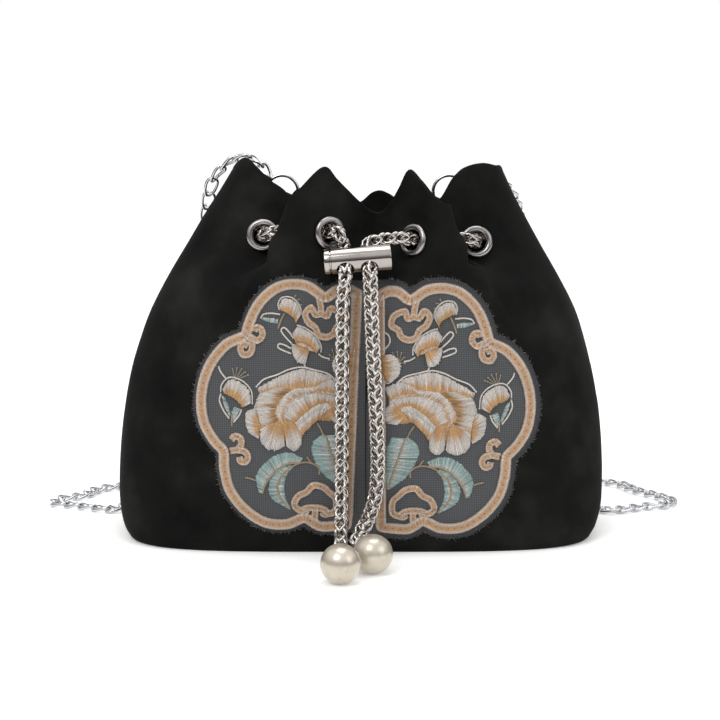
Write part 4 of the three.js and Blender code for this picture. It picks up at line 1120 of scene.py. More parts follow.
@dataclass
class FrontFace:
    """The front of the bag as a height field: y of the cloth at x and z, for what is sewn on it."""

    cloth: BagCloth
    x_from: float = -88.0
    x_to: float = 92.0
    z_from: float = 3.0
    z_to: float = 128.0
    x_step: float = 0.5
    z_step: float = 1.0
    x_grid: Array = field(init=False)
    z_grid: Array = field(init=False)
    y_grid: Array = field(init=False)

    def __post_init__(self) -> None:
        """Reads the cloth's front at every step across and up."""
        self.x_grid = np.arange(self.x_from, self.x_to, self.x_step)
        self.z_grid = np.arange(self.z_from, self.z_to, self.z_step)
        # The front is the first half of the way round; the corners are left out
        u = np.linspace(0.03, 0.47, 1600)
        rows = []
        for z in self.z_grid:
            points = self.cloth.outer(u, np.full_like(u, z))
            order = np.argsort(points[:, 0])
            rows.append(np.interp(self.x_grid, points[order, 0], points[order, 1]))
        self.y_grid = np.stack(rows)

    def at(self, flat: Array, lift: Array | float) -> Array:
        """Points of the front at flat places, lifted straight towards the viewer.

        Args:
            flat: x and z of each point.
            lift: how far in front of the cloth, in millimetres.

        Returns:
            x, y and z of each point.
        """
        x, z = flat[..., 0], flat[..., 1]
        column = np.clip((x - self.x_from) / self.x_step, 0, len(self.x_grid) - 1.001)
        row = np.clip((z - self.z_from) / self.z_step, 0, len(self.z_grid) - 1.001)
        i, j = row.astype(int), column.astype(int)
        s, t = row - i, column - j
        y = ((1 - s) * ((1 - t) * self.y_grid[i, j] + t * self.y_grid[i, j + 1])
             + s * ((1 - t) * self.y_grid[i + 1, j] + t * self.y_grid[i + 1, j + 1]))
        return np.stack([x, y - lift, z], -1)


# Metal pieces

@dataclass
class Eyelets:
    """The rolled rings pressed through the pleats."""

    bore: float = 4.3
    tube: float = 4.95
    outer_radius: float = 7.5
    crown: float = 2.1
    back_radius: float = 6.9
    back_thickness: float = 0.8
    sides: int = 72

    def profile(self, wall: float) -> Array:
        """Closed profile: bore, rolled crown, flat seat, tube and the washer behind the cloth."""
        arc = np.linspace(pi, 0, 17)
        middle, reach = (self.outer_radius + self.bore) / 2, (self.outer_radius - self.bore) / 2
        crown = np.stack([middle + reach * np.cos(arc), 0.25 + self.crown * np.sin(arc) ** 0.8], 1)
        back = -wall - 0.1
        end = back - self.back_thickness
        washer = np.array([
            (self.outer_radius - 0.35, 0.05), (self.tube, 0.05), (self.tube, back),
            (self.back_radius - 0.2, back), (self.back_radius, back - 0.2), (self.back_radius, end + 0.3),
            (self.back_radius - 0.3, end), (self.bore + 0.3, end), (self.bore, end + 0.3)])
        return np.vstack([crown, washer])

    def build(self, cloth: BagCloth, materials: Materials) -> None:
        """One ring for each eyelet of the frame, turned round the eyelet's axis."""
        for name, eyelet in cloth.eyelets().items():
            ring = moved_to(turned(self.profile(cloth.wall), self.sides, False),
                            eyelet["along"], eyelet["up"], eyelet["out"], eyelet["centre"])
            piece = make_mesh(f"rolled_eyelet_{name}", ring)
            sharpen(piece, 50)
            dress(piece, materials.gunmetal, (f"eyelet_{name}",))


@dataclass
class Lock:
    """The barrel that both ends of the drawstring go through."""

    length: float = 29.0
    radius: float = 5.6
    hole_radius: float = 3.35
    hole_spacing: float = 10.3
    hole_shift: float = -0.4
    rise: float = 4.5
    roll: float = 40.0
    cap: float = 3.2
    groove_depth: float = 0.6
    groove_width: float = 0.9
    bevel: float = 0.5
    bell: float = 0.45
    clear: float = 3.4
    place: tuple[float, float, float] = (-0.9, -58.5, 130.6)
    run: tuple[float, ...] = (1.43, 0.715, 0.0, -0.715, -1.61)

    def axes(self) -> Array:
        """The barrel's axes as rows: rolled about its length, then tilted up to the right."""
        a, b = radians(self.roll), radians(self.rise)
        roll = np.array([(1, 0, 0), (0, np.cos(a), np.sin(a)), (0, -np.sin(a), np.cos(a))])
        tilt = np.array([(np.cos(b), 0, np.sin(b)), (0, 1, 0), (-np.sin(b), 0, np.cos(b))])
        return roll @ tilt

    def hole_point(self, hole: int, ahead: float) -> Array:
        """Point on the axis of one cross hole; ahead is the way towards the front in radii."""
        local = np.array([self.hole_x(hole), -ahead * self.radius, 0.0])
        return local @ self.axes() + self.place

    def hole_x(self, hole: int) -> float:
        """Place of a cross hole along the barrel."""
        return self.hole_shift + (hole - 0.5) * self.hole_spacing

    def build(self, materials: Materials) -> None:
        """The turned barrel with its grooved cap at the left, drilled across twice, with softened edges."""
        half, r, bevel, bore = self.length / 2, self.radius, self.bevel, self.hole_radius
        groove, start = r - self.groove_depth, -half + self.cap - self.groove_width
        stop = start + self.groove_width
        bend = np.linspace(0, pi / 2, 5)
        left = [(r - bevel + bevel * np.sin(a), -half + bevel - bevel * np.cos(a)) for a in bend]
        right = [(r - bevel + bevel * np.cos(a), half - bevel + bevel * np.sin(a)) for a in bend]
        profile = np.array([
            (0, -half), *left, (r, start), (groove + 0.15, start + 0.1), (groove, start + 0.25),
            (groove, stop - 0.25), (groove + 0.15, stop - 0.1), (r, stop), (r, stop + 0.2),
            (r, half - bevel - 0.2), *right, (0, half)])
        barrel = turned(profile, 128, True)
        barrel.points = barrel.points[:, [2, 0, 1]]
        piece = make_mesh("lock_barrel", barrel.outward())
        bell, reach = bore + self.bell, r + self.clear
        rod = np.array([(0, -reach), (bell, -reach), (bell, -r * 0.93), (bore, -r * 0.8),
                        (bore, r * 0.8), (bell, r * 0.93), (bell, reach), (0, reach)])
        drills = []
        for hole in (0, 1):
            drill = turned(rod, 64, True)
            drill.points = drill.points[:, [0, 2, 1]] + [self.hole_x(hole), 0, 0]
            drills.append(drill.outward())
        cut(piece, merged(drills))
        points = np.empty(len(piece.data.vertices) * 3)
        piece.data.vertices.foreach_get("co", points)
        placed = points.reshape(-1, 3) @ self.axes() + np.array(self.place) * MM
        piece.data.vertices.foreach_set("co", placed.ravel())
        piece.data.update()
        sharpen(piece, 32)
        dress(piece, materials.steel, ("cord_lock",))


@dataclass
class WheatChain:
    """The drawstring: folded oval links, each pushed through the one before, in two crossed rows."""

    wire: float = 0.72
    period: float = 3.0
    path_step: float = 0.5
    link_points: int = 24
    wire_sides: int = 6
    pin_radius: float = 0.9
    pin_length: float = 6.0
    strand: float = 160.0
    left_seen: float = 70.0
    right_seen: float = 75.0
    left_roll: float = -16.0
    right_roll: float = 45.0

    def route(self, cloth: BagCloth, lock: Lock, pearl_radius: float) -> Array:
        """Points that the chain follows, from the left pearl through lock and eyelets to the right pearl."""
        eyelets = cloth.eyelets()

        def woven(rows: tuple[tuple[str, float, float], ...], side: str, turn: int) -> list[Array]:
            """Points of one half of the weave."""
            rings = [eyelets[f"{side}_{name}"] for name, _, _ in rows]
            return [ring["centre"] + ring["out"] * out * cloth.eyelet_radius
                    + ring["along"] * along * turn * cloth.eyelet_radius
                    for ring, (_, out, along) in zip(rings, rows)]

        def end(side: str, away: float) -> Array:
            """Point on a pearl's drill axis, off its surface."""
            way = unit(np.array(PEARL_DRILLS[side]))
            return np.array(PEARL_PLACES[side]) + way * (pearl_radius + 0.3 + away)

        return np.array([
            end("left", 0), end("left", 2.6), *LEFT_STRAND[::-1],
            *[lock.hole_point(0, a) for a in lock.run],
            *woven(LEFT_WEAVE, "front", 1), *woven(LEFT_WEAVE, "back", -1)[::-1],
            *woven(RIGHT_WEAVE, "back", -1), *woven(RIGHT_WEAVE, "front", 1)[::-1],
            *[lock.hole_point(1, a) for a in lock.run[::-1]],
            *RIGHT_STRAND, end("right", 2.6), end("right", 0),
        ])

    def link(self) -> Skin:
        """One link: an oval of wire bent into a U, both of its lobes pointing down the chain.

        A quarter runs from the waist to the tip of a lobe, and its mirror images are the other three.
        """
        run = np.array(LINK_QUARTER)
        whole = np.vstack([run, run[-2::-1] * [1, -1, 1], run[1:] * [-1, -1, 1], run[-2:0:-1] * [-1, 1, 1]])
        curve = evenly(whole, self.link_points, True)
        normal, binormal = carried_frames(curve, np.array([0.0, 0.2, 1.0]), True)
        return swept(curve, normal, binormal, circle(self.wire, self.wire_sides), True)

    def build(self, cloth: BagCloth, lock: Lock, pearls: "Pearls", materials: Materials) -> float:
        """The whole chain in one piece, each link bent along the route, and a pin into each pearl.

        Returns:
            The chain's length in millimetres.
        """
        route = self.route(cloth, lock, pearls.radius)
        path = evenly(route, int(smooth_length(route, CURVE_STEPS * len(route)) / self.path_step))
        walked = run_lengths(path)
        normal, binormal = carried_frames(path, np.array([0.0, -1.0, 0.3]))
        normal, binormal = self.turned_frames(walked, normal, binormal)
        link = self.link()
        starts = np.arange(0.2, walked[-1] - 7.6, self.period)
        local = np.repeat(link.points[None], len(starts), 0)
        local[1::2] = local[1::2][:, :, [1, 0, 2]] * [-1, 1, 1]
        skins = [strung(link, local, starts, path, binormal, normal)]
        skins += [pearls.pin(name, self.pin_radius, self.pin_length) for name in PEARL_PLACES]
        piece = make_mesh("wheat_chain", merged(skins))
        dress(piece, materials.nickel, ("drawstring",))
        return walked[-1]

    def turned_frames(self, walked: Array, normal: Array, binormal: Array) -> tuple[Array, Array]:
        """Frames with a slow roll, so that the left strand shows its chevrons and the right one its edge.

        The roll is what brings the normal to one angle from the viewer on the left strand and to another
        on the right one, and it changes smoothly along the part between them.
        """
        ahead = np.array([0.0, -1.0, 0.0])
        total = walked[-1]
        angle = np.unwrap(np.arctan2(binormal @ ahead, normal @ ahead))
        at_left = np.interp(self.left_seen, walked, angle) + radians(self.left_roll)
        at_right = np.interp(total - self.right_seen, walked, angle) + radians(self.right_roll)
        share = smoothstep(self.strand, total - self.strand, walked)
        return rolled(normal, binormal, at_left + (at_right - at_left) * share)


@dataclass
class Pearls:
    """The two drilled pearls at the ends of the drawstring."""

    radius: float = 8.5
    drill: float = 1.2
    depth: float = 6.3

    def frame(self, name: str) -> tuple[Array, Array, Array]:
        """Axes of a pearl whose Z is its drill axis."""
        up = unit(np.array(PEARL_DRILLS[name]))
        side = unit(np.cross(np.array([0.0, 0.0, 1.0]), up))
        return side, np.cross(up, side), up

    def pin(self, name: str, radius: float, length: float) -> Skin:
        """The pin and cup that hold the chain in a pearl."""
        r = self.radius
        profile = np.array([
            (0, r - length), (radius, r - length), (radius, r - 0.1), (1.7, r - 0.05), (2.1, r + 0.25),
            (2.2, r + 0.8), (1.5, r + 1.1), (radius, r + 1.2), (radius, r + 3), (0, r + 3)])
        return moved_to(turned(profile, 20, True), *self.frame(name), np.array(PEARL_PLACES[name]))

    def build(self, materials: Materials) -> None:
        """Each pearl as one turned skin: the ball, then down its drilled hole."""
        start = np.arcsin(self.drill / self.radius)
        arc = np.linspace(pi, start, 72)
        ball = np.stack([self.radius * np.sin(arc), self.radius * np.cos(arc)], 1)
        floor = self.radius - self.depth
        hole = np.array([(self.drill, floor), (0, floor)])
        ball[0, 0] = 0
        for name, place in PEARL_PLACES.items():
            skin = moved_to(turned(np.vstack([ball, hole]), 96, True), *self.frame(name), np.array(place))
            dress(make_mesh(f"drilled_pearl_{name}", skin), materials.pearl, (f"pearl_{name}",))


@dataclass
class Strap:
    """The shoulder strap: a flat curb chain, its two rings and the tapes that hold them."""

    wire: float = 0.78
    link_length: float = 11.4
    link_width: float = 7.2
    pitch: float = 7.9
    path_step: float = 0.6
    end_gap: float = 4.2
    swing: float = 0.92
    link_points: int = 28
    wire_sides: int = 6
    ring_radius: float = 7.3
    ring_wire: float = 0.75
    ring_sides: int = 96
    ring_height: float = 156.0
    floor_z: float = 1.75
    route_floor_z: float = 2.7
    tape_thickness: float = 0.5
    tape_height: float = 6.0
    wall_lean: float = 0.6

    def route(self) -> Array:
        """Points of the strap from ring to ring, its floor run lowered so that its links lie on the floor."""
        points = STRAP_ROUTE.copy()
        drop = self.route_floor_z - self.floor_z
        points[:, 2] -= drop * (1 - smoothstep(self.route_floor_z, 14, points[:, 2]))
        ends = [np.array([RING_X[name] + sign * 5.0, 0.6, self.ring_height + 5.6]) for name, sign in SIDES]
        return np.vstack([ends[0], points, ends[1]])

    def faces_way(self, path: Array) -> tuple[Array, Array]:
        """The way that the flat of the chain faces: up on the floor and over the rim, out behind the bag."""
        z = path[:, 2]
        back = smoothstep(4, 24, z) * (1 - smoothstep(135, 160, z))
        wanted = np.stack([np.zeros_like(z), back, 1.02 - back], 1)
        tangent = unit(np.gradient(path, axis=0))
        normal = unit(wanted - tangent * (wanted * tangent).sum(1, keepdims=True))
        return normal, np.cross(tangent, normal)

    def build(self, materials: Materials) -> float:
        """Chain, rings and tapes.

        Each curb link is an oval whose wire rises and falls twice round it, so that its neighbours pass
        over it at one side and under it at the other: (a cos t, b sin t, h sin 2t).

        Returns:
            The strap's length in millimetres.
        """
        route = self.route()
        path = evenly(route, int(smooth_length(route, CURVE_STEPS * len(route)) / self.path_step))
        walked = run_lengths(path)
        normal, side = self.faces_way(path)
        t = 2 * pi * np.arange(self.link_points) / self.link_points
        flat = [np.sign(f) * np.abs(f) ** 0.9 for f in (np.cos(t), np.sin(t))]
        curve = np.stack([(self.link_length / 2 - self.wire) * flat[0],
                          (self.link_width / 2 - self.wire) * flat[1], self.swing * np.sin(2 * t)], 1)
        first, second = carried_frames(curve, np.array([0.0, 0.0, 1.0]), True)
        link = swept(curve, first, second, circle(self.wire, self.wire_sides, 0.86), True)
        between = walked[-1] - 2 * self.end_gap
        count = int(between / self.pitch)
        centres = self.end_gap + between / count * np.arange(count + 1)
        local = link.points[None, :, [1, 2, 0]]
        piece = make_mesh("curb_chain", strung(link, local, centres, path, side, normal))
        dress(piece, materials.curb, ("strap",))
        for name, sign in SIDES:
            self.build_ring(name, materials)
            self.build_tape(name, sign, materials)
        return walked[-1]

    def build_ring(self, name: str, materials: Materials) -> None:
        """A round wire ring that stands across the bag: its circle is in x and z."""
        flat = circle(self.ring_radius, self.ring_sides)
        middle = np.array([RING_X[name], 0.0, self.ring_height])
        normal = np.stack([flat[:, 0], np.zeros(self.ring_sides), flat[:, 1]], 1)
        binormal = np.tile([0.0, 1.0, 0.0], (self.ring_sides, 1))
        ring = swept(middle + normal, unit(normal), binormal, circle(self.ring_wire, 16), True)
        dress(make_mesh(f"wire_ring_{name}", ring), materials.curb, (f"strap_ring_{name}",))

    def build_tape(self, name: str, sign: int, materials: Materials) -> None:
        """A tape folded round the ring's wire, both ends sewn to the leaning inner face of the side."""
        node = f"ring_tab_{name}"
        low, high = (np.array(corner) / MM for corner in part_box(node))
        wall_x = low[0] if sign < 0 else high[0]
        eye_x = RING_X[name] + sign * self.ring_radius
        bend = np.linspace(pi / 2, pi / 2 + sign * pi, 13)
        turn = self.ring_wire + 0.75
        loop = np.stack([eye_x + turn * np.cos(bend), turn * np.sin(bend), np.full(13, self.ring_height)], 1)
        half = self.tape_height / 2
        near, far = 0.55, wall_x - sign * (self.wall_lean * half + 0.1)
        leg = np.linspace(0, 1, 6)[:, None]
        seam, fold = (np.array([x, near, self.ring_height]) for x in (far, eye_x + sign * 2.6))
        first = seam * (1 - leg) + fold * leg
        last = first[::-1] * [1, -1, 1]
        path = np.vstack([first, loop, last])
        reach = np.clip((path[:, 0] - eye_x) / (far - eye_x), 0, 1) ** 4
        upright = np.stack([-sign * self.wall_lean * reach, np.zeros(len(path)), np.ones(len(path))], 1)
        thick = unit(np.cross(np.gradient(path, axis=0), upright))
        edge = self.tape_thickness / 2
        under = np.array([(-half, -edge / 2), (-half + 0.2, -edge), (half - 0.2, -edge), (half, -edge / 2)])
        profile = np.vstack([under, under[::-1] * [1, -1]])
        tape = swept(path, upright, thick, profile)
        dress(make_mesh(f"folded_tape_{name}", tape), materials.tape, (node,))


# Embroidered patches

@dataclass
class Medallion:
    """One half of the front's medallion: organza, its satin band and the stitched flowers.

    For petals and for leaves three numbers give the painted shade between two stitches, which stands in for
    the shade there and, on leaves, for the dark organza seen through the gaps: the brightness between two
    stitches, the power of its rise to their crests, and the random spread of tone from stitch to stitch. The
    points are how many a stitch, a band or a thread has across or along.
    """

    name: str
    side: int
    drop: float
    tilt: float
    margin: float
    width: float = 76.0
    height: float = 112.0
    base: float = 10.5
    middle: float = 2.6
    band_width: float = 4.8
    scroll_width: float = 3.1
    sheet_lift: float = 0.12
    sheet_thickness: float = 0.3
    stitch: float = 0.6
    # Painted shade between stitches, for petals then leaves: brightness between two stitches, power of its
    # rise to their crests, random spread of tone from stitch to stitch
    petal_gap_shade: tuple[float, float, float] = (0.32, 0.8, 0.12)
    leaf_gap_shade: tuple[float, float, float] = (0.1, 1.25, 0.2)
    hole_spacing: float = 3.3
    hole_reach: float = 0.3
    stitch_root: float = 0.05
    stitch_sides: int = 4
    stitch_points: int = 8
    band_points: int = 13
    thread_points: int = 7
    band_step: float = 0.14
    thread_step: float = 0.3
    twist_length: float = 0.9
    centre_gap: float = 0.15
    fringe_count: int = 520

    @property
    def sheet_top(self) -> float:
        """Lift of the organza's upper face."""
        return self.sheet_lift + self.sheet_thickness

    def raised(self, face: FrontFace, flat: Array, lift: Array, tint: Array) -> Skin:
        """Thread on the organza as a closed slab: its top lifted, its underside sunk into the sheet."""
        return slab(face.at(flat, lift), face.at(flat, self.sheet_lift + self.stitch_root), tint)

    def placed(self, motif: Array) -> Array:
        """Front view places of motif points: turned about the patch's middle, mirrored and dropped."""
        angle = radians(self.tilt)
        centre = np.array([self.width / 2, self.height / 2])
        turn = np.array([(np.cos(angle), np.sin(angle)), (-np.sin(angle), np.cos(angle))])
        points = (np.asarray(motif, float) - centre) @ turn + centre
        return np.stack([self.middle + self.side * points[..., 0],
                         self.base - self.drop + points[..., 1]], -1)

    def outline(self, step: float) -> Array:
        """Outer edge of the band in motif millimetres, closed, at an even step."""
        scale = np.array([self.width, self.height])
        runs = [evenly(np.array(lobe) * scale, 60)[:-1] for lobe in LOBES]
        runs.append((np.array(LOBES[-1][-1]) * scale)[None])
        edge = np.vstack(runs)
        edge = np.vstack([edge, edge[:1]])
        walked = run_lengths(edge)
        even = np.arange(0, walked[-1], step)
        return np.stack([np.interp(even, walked, edge[:, k]) for k in (0, 1)], 1)

    @staticmethod
    def inward(edge: Array, reach: int) -> Array:
        """Unit normals into a closed outline, averaged over some neighbours."""
        normal = left_of(np.roll(edge, -1, 0) - np.roll(edge, 1, 0)) * np.sign(signed_area(edge))
        return unit(sum(np.roll(normal, k, 0) for k in range(-reach, reach + 1)))

    def band(self, face: FrontFace, edge: Array, normal: Array, width: float, closed: bool,
             rng: np.random.Generator) -> Skin:
        """Satin band on the organza: cream cords along both edges of a peach channel.

        The height across is two round cords and a low middle, with the ridges of the stitches added. A
        dark dot marks each needle hole along the middle.

        Args:
            face: the front.
            edge: one edge of the band in motif millimetres.
            normal: the way across it.
            width: the band's width.
            closed: whether it is a closed ring.
            rng: random numbers.

        Returns:
            The band's skin.
        """
        across = np.linspace(0, 1, self.band_points)
        rows = len(edge)
        if closed:
            edge, normal = (np.vstack([a, a[:1]]) for a in (edge, normal))
        walked = run_lengths(edge)
        ragged = rng.normal(0, 0.09, (len(edge), 2))
        ragged[-1] = ragged[0]
        shift = ragged[:, :1] * (1 - across) + ragged[:, 1:] * across
        reach = across[None, :, None] * width + shift[..., None]
        flat = self.placed(edge[:, None] + normal[:, None] * reach)
        cords = np.exp(-((across - 0.14) / 0.11) ** 2) + np.exp(-((across - 0.86) / 0.11) ** 2)
        body = 0.62 * np.sqrt(np.clip(1 - (2 * across - 1) ** 8, 0, 1)) + 0.42 * cords
        ridge = 0.07 * np.sin(2 * pi * walked / self.stitch)[:, None] * (0.4 + cords)
        peach, cream, hole = linear("#CDA278"), linear("#DCCDC2"), linear("#54402E")
        whole = np.clip(cords * 1.25, 0, 1)[None, :, None]
        varied = 1 + rng.normal(0, 0.07, (len(edge), 1, 1))
        # Painted shade between the band's stitches: each stitch is darker where its ridge dips
        valley_shade = 0.8 + 0.2 * np.sin(2 * pi * walked / self.stitch)[:, None, None]
        tint = (peach * (1 - whole) + cream * whole) * varied * valley_shade
        phase = walked / self.hole_spacing
        near = np.abs(phase - np.round(phase)) * self.hole_spacing < self.hole_reach
        dot = near[:, None] * (np.abs(across - 0.5) < 0.07)
        tint = np.where(dot[..., None], hole, tint)
        lift = self.sheet_top + body + ridge - 0.3 * dot
        if closed:
            return self.raised_ring(face, flat[:rows], lift[:rows], tint[:rows])
        return self.raised(face, flat, lift, tint)

    def raised_ring(self, face: FrontFace, flat: Array, lift: Array, tint: Array) -> Skin:
        """A closed band: the top strip, its two walls and the underside, wrapped round the ring."""
        top = face.at(flat, lift)
        under = face.at(flat[:, [-1, 0]], self.sheet_lift + self.stitch_root)
        loops = np.concatenate([top, under], 1)
        colours = np.concatenate([tint, tint[:, [-1, 0]]], 1).reshape(-1, 3)
        return Skin(loops.reshape(-1, 3), [grid_faces(*loops.shape[:2], True, True)], colours).outward()

    def scroll(self, face: FrontFace, scroll: Scroll, rng: np.random.Generator) -> Skin:
        """A scroll's band: the band's section carried along the scroll's line."""
        line = np.array(scroll.line)
        length = smooth_length(line, 200, scroll.closed)
        centre = evenly(line, int(length / self.band_step), scroll.closed)
        if scroll.closed:
            way = np.roll(centre, -1, 0) - np.roll(centre, 1, 0)
        else:
            way = np.gradient(centre, axis=0)
        normal = left_of(way)
        edge = centre - normal * self.scroll_width / 2
        return self.band(face, edge, normal, self.scroll_width, scroll.closed, rng)

    def stitched(self, face: FrontFace, petal: Petal, base: float, dome: float,
                 rng: np.random.Generator) -> Skin:
        """A petal or leaf in satin stitch.

        Stitches run straight from the root curve to the tip curve, side by side. Each is a round ridge,
        the shape is domed along the stitches, the ends are uneven, and the colour changes from root to tip
        at a place of its own in each stitch.

        Args:
            face: the front.
            petal: the shape.
            base: its lift from the organza.
            dome: how high it rises at its middle.
            rng: random numbers.

        Returns:
            The petal's skin.
        """
        root_length, tip_length = (run_lengths(np.array(c))[-1] for c in (petal.root, petal.tip))
        stitches = max(6, int((root_length + 2 * tip_length) / 3 / (self.stitch * 0.95)))
        columns = stitches * self.stitch_sides + 1
        smooth = [drawn(curve, columns) for curve in (petal.root, petal.tip)]
        which = np.minimum(np.arange(columns) // self.stitch_sides, stitches - 1)
        v = np.linspace(0, 1, self.stitch_points)[:, None]
        reach = unit(smooth[1] - smooth[0])
        span = np.linalg.norm(smooth[1] - smooth[0], axis=1)
        overshoot, undershoot = (rng.normal(0, 0.16, stitches)[which] * np.clip(span / 4, 0, 1)
                                 for _ in range(2))
        tip = smooth[1] + reach * overshoot[:, None]
        root = smooth[0] - reach * undershoot[:, None]
        flat = self.placed(root[None] * (1 - v[..., None]) + tip[None] * v[..., None])
        crest = np.abs(np.sin(pi * np.arange(columns) / self.stitch_sides))[None]
        ends = np.clip(np.sin(pi * np.clip(v, 0.02, 0.98)), 0, 1) ** 0.5
        from_side = np.minimum(np.arange(columns), columns - 1 - np.arange(columns))
        sides = np.clip(from_side / (1.5 * self.stitch_sides), 0, 1)[None] ** 0.5
        lift = self.sheet_top + base + dome * ends * sides + 0.18 * crest * ends
        change = 0.45 + rng.normal(0, 0.09, stitches)[which]
        mix = smoothstep(-0.16, 0.16, v - change[None])[..., None]
        low, high = (linear(code) for code in petal.shade.value)
        dark, power, uneven = self.leaf_gap_shade if petal.shade is Shade.TEAL else self.petal_gap_shade
        varied = (1 + rng.normal(0, uneven, stitches)[which])[None, :, None]
        # Painted shade between stitches: each stitch darkens from its crest to its edges, for the shade in
        # the gaps and, on leaves, the dark organza seen through them
        shadow = (dark + (1 - dark) * crest ** power)[..., None]
        tint = (low * (1 - mix) + high * mix) * varied * shadow
        if petal.shade is Shade.GOLD:
            brown = (rng.random(stitches) < 0.4)[which][None, :] & (v < 0.42) & (v > 0.1)
            tint = np.where(brown[..., None], tint * 0.55, tint)
        return self.raised(face, flat, lift, tint)

    def couched(self, face: FrontFace, line: Array, radius: float, code: str,
                rng: np.random.Generator) -> Skin:
        """A thread laid along a curve, a half round cord with the twist of its plies as slow swells."""
        length = run_lengths(np.asarray(line, float))[-1]
        count = max(6, int(length / self.thread_step))
        points = drawn(line, count)
        normal = left_of(np.gradient(points, axis=0))
        across = np.linspace(-1, 1, self.thread_points)
        walked = np.arange(count) * self.thread_step
        swell = 1 + 0.16 * np.sin(2 * pi * walked / self.twist_length)[:, None]
        reach = across[None, :, None] * radius * swell[..., None]
        flat = self.placed(points[:, None] + normal[:, None] * reach)
        lift = self.sheet_top + 0.2 + radius * 1.3 * swell * np.sqrt(1 - 0.98 * across ** 2)
        tint = linear(code) * (1 + rng.normal(0, 0.06, (count, 1, 1))) * np.ones((1, len(across), 1))
        return self.raised(face, flat, lift, tint)

    @staticmethod
    def knot(root: tuple[float, float], end: tuple[float, float]) -> Array:
        """Ends of the short stitch that makes the knot of a stamen."""
        way = unit(np.array(end) - np.array(root)) * 0.32
        return np.stack([np.array(end) - way, np.array(end) + way])

    def sheet(self, face: FrontFace, materials: Materials) -> None:
        """The organza: rings from the patch's middle out to its cut edge, kept off the other patch."""
        edge = self.outline(0.9)
        outer = edge - self.inward(edge, 3) * self.margin
        centre = np.array([self.width * 0.46, self.height * 0.5])
        share = np.linspace(0.02, 1, 24)[:, None, None] ** 0.8
        beyond = np.linspace(0.25, 1, 4)[:, None, None]
        inmost = smoothstep(9, 6, edge[:, 0])
        outer[:, 0] += inmost * (self.centre_gap - outer[:, 0])
        motif = np.concatenate([centre + share * (edge - centre), edge + beyond * (outer - edge)])
        motif[..., 0] = np.maximum(motif[..., 0], self.centre_gap)
        flat = self.placed(motif)
        outwards = self.side * (flat[..., 0] - self.middle)
        flat[..., 0] = self.middle + self.side * np.maximum(outwards, self.centre_gap)
        top, bottom = face.at(flat, self.sheet_top), face.at(flat, self.sheet_lift)
        skin = capped_loops(np.concatenate([top, bottom[::-1]]))
        dim = np.concatenate([np.zeros(len(share)), np.linspace(0.38, 0.58, len(beyond))])
        shade = 1 - np.concatenate([dim, dim[::-1]])[:, None] * (1 - inmost)
        skin.tint = np.repeat(np.append(shade.ravel(), (1, 1))[:, None], 3, 1)
        piece = make_mesh(f"organza_{self.name}", skin)
        dress(piece, materials.organza, (f"patch_{self.name}",))

    def fringe(self, face: FrontFace, rng: np.random.Generator) -> Skin:
        """Loose thread ends along the organza's cut edge: thin tapered slivers that lie on the velvet."""
        edge = self.outline(0.5)
        away = -self.inward(edge, 5)
        outer = edge + away * (self.margin - 0.4)
        count = self.fringe_count
        picked = rng.choice(np.flatnonzero(outer[:, 0] > 6), count)
        root = outer[picked] + rng.normal(0, 0.25, (count, 2))
        way, bend = rolled(away[picked], left_of(away[picked]), rng.normal(0, 0.75, count))
        reach = rng.uniform(0.5, 1.7, count)[:, None, None]
        t = np.linspace(0, 1, 5)[None, :, None]
        curl = rng.normal(0, 0.35, count)[:, None, None]
        line = root[:, None] + way[:, None] * reach * t + bend[:, None] * curl * t ** 2
        half = 0.05 * (1 - 0.6 * t)
        left, right = (self.placed(line + s * bend[:, None] * half) for s in (-1, 1))
        lift = 0.22 + rng.uniform(0, 0.5, count)[:, None] * t[..., 0]
        ridge = face.at((left + right) / 2, lift + 0.09)
        loops = np.stack([face.at(left, lift), face.at(right, lift), ridge], 2)
        skins = [capped_loops(fibre) for fibre in loops]
        skin = merged(skins)
        shades = np.stack([linear("#7C7E80"), linear("#CFC6BE")])[(rng.random(count) < 0.3).astype(int)]
        skin.tint = np.repeat(shades, len(skins[0].points), 0)
        return skin

    def build(self, face: FrontFace, materials: Materials) -> None:
        """The sheet, the band, the scrolls, the flowers, the leaves, the couched threads and the fringe."""
        rng = np.random.default_rng(SEED + self.side)
        self.sheet(face, materials)
        edge = self.outline(self.band_step)
        border = self.band(face, edge, self.inward(edge, 6), self.band_width, True, rng)
        dress(make_mesh(f"satin_band_{self.name}", border), materials.thread,
              (f"border_{self.name}",))
        parts = {
            "scrolls": [self.scroll(face, s, rng) for s in SCROLLS],
            "flowers": [self.stitched(face, p, 0.05 + 0.06 * i, 0.55, rng) for i, p in enumerate(PETALS)],
            "leaves": [self.stitched(face, p, 0.02, 0.4, rng) for p in LEAVES],
            "threads": [self.couched(face, t.line, 0.34, t.shade.value[0], rng) for t in THREADS],
            "stamens": [self.couched(face, line, radius, "#A99A84", rng) for s in STAMENS for k in s.knots
                        for line, radius in ((np.array([s.root, k]), 0.15), (self.knot(s.root, k), 0.3))],
            "fringe": [self.fringe(face, rng)],
        }
        for kind, skins in parts.items():
            piece = make_mesh(f"{kind}_{self.name}", merged(skins))
            dress(piece, materials.thread)


# Camera, floor and light

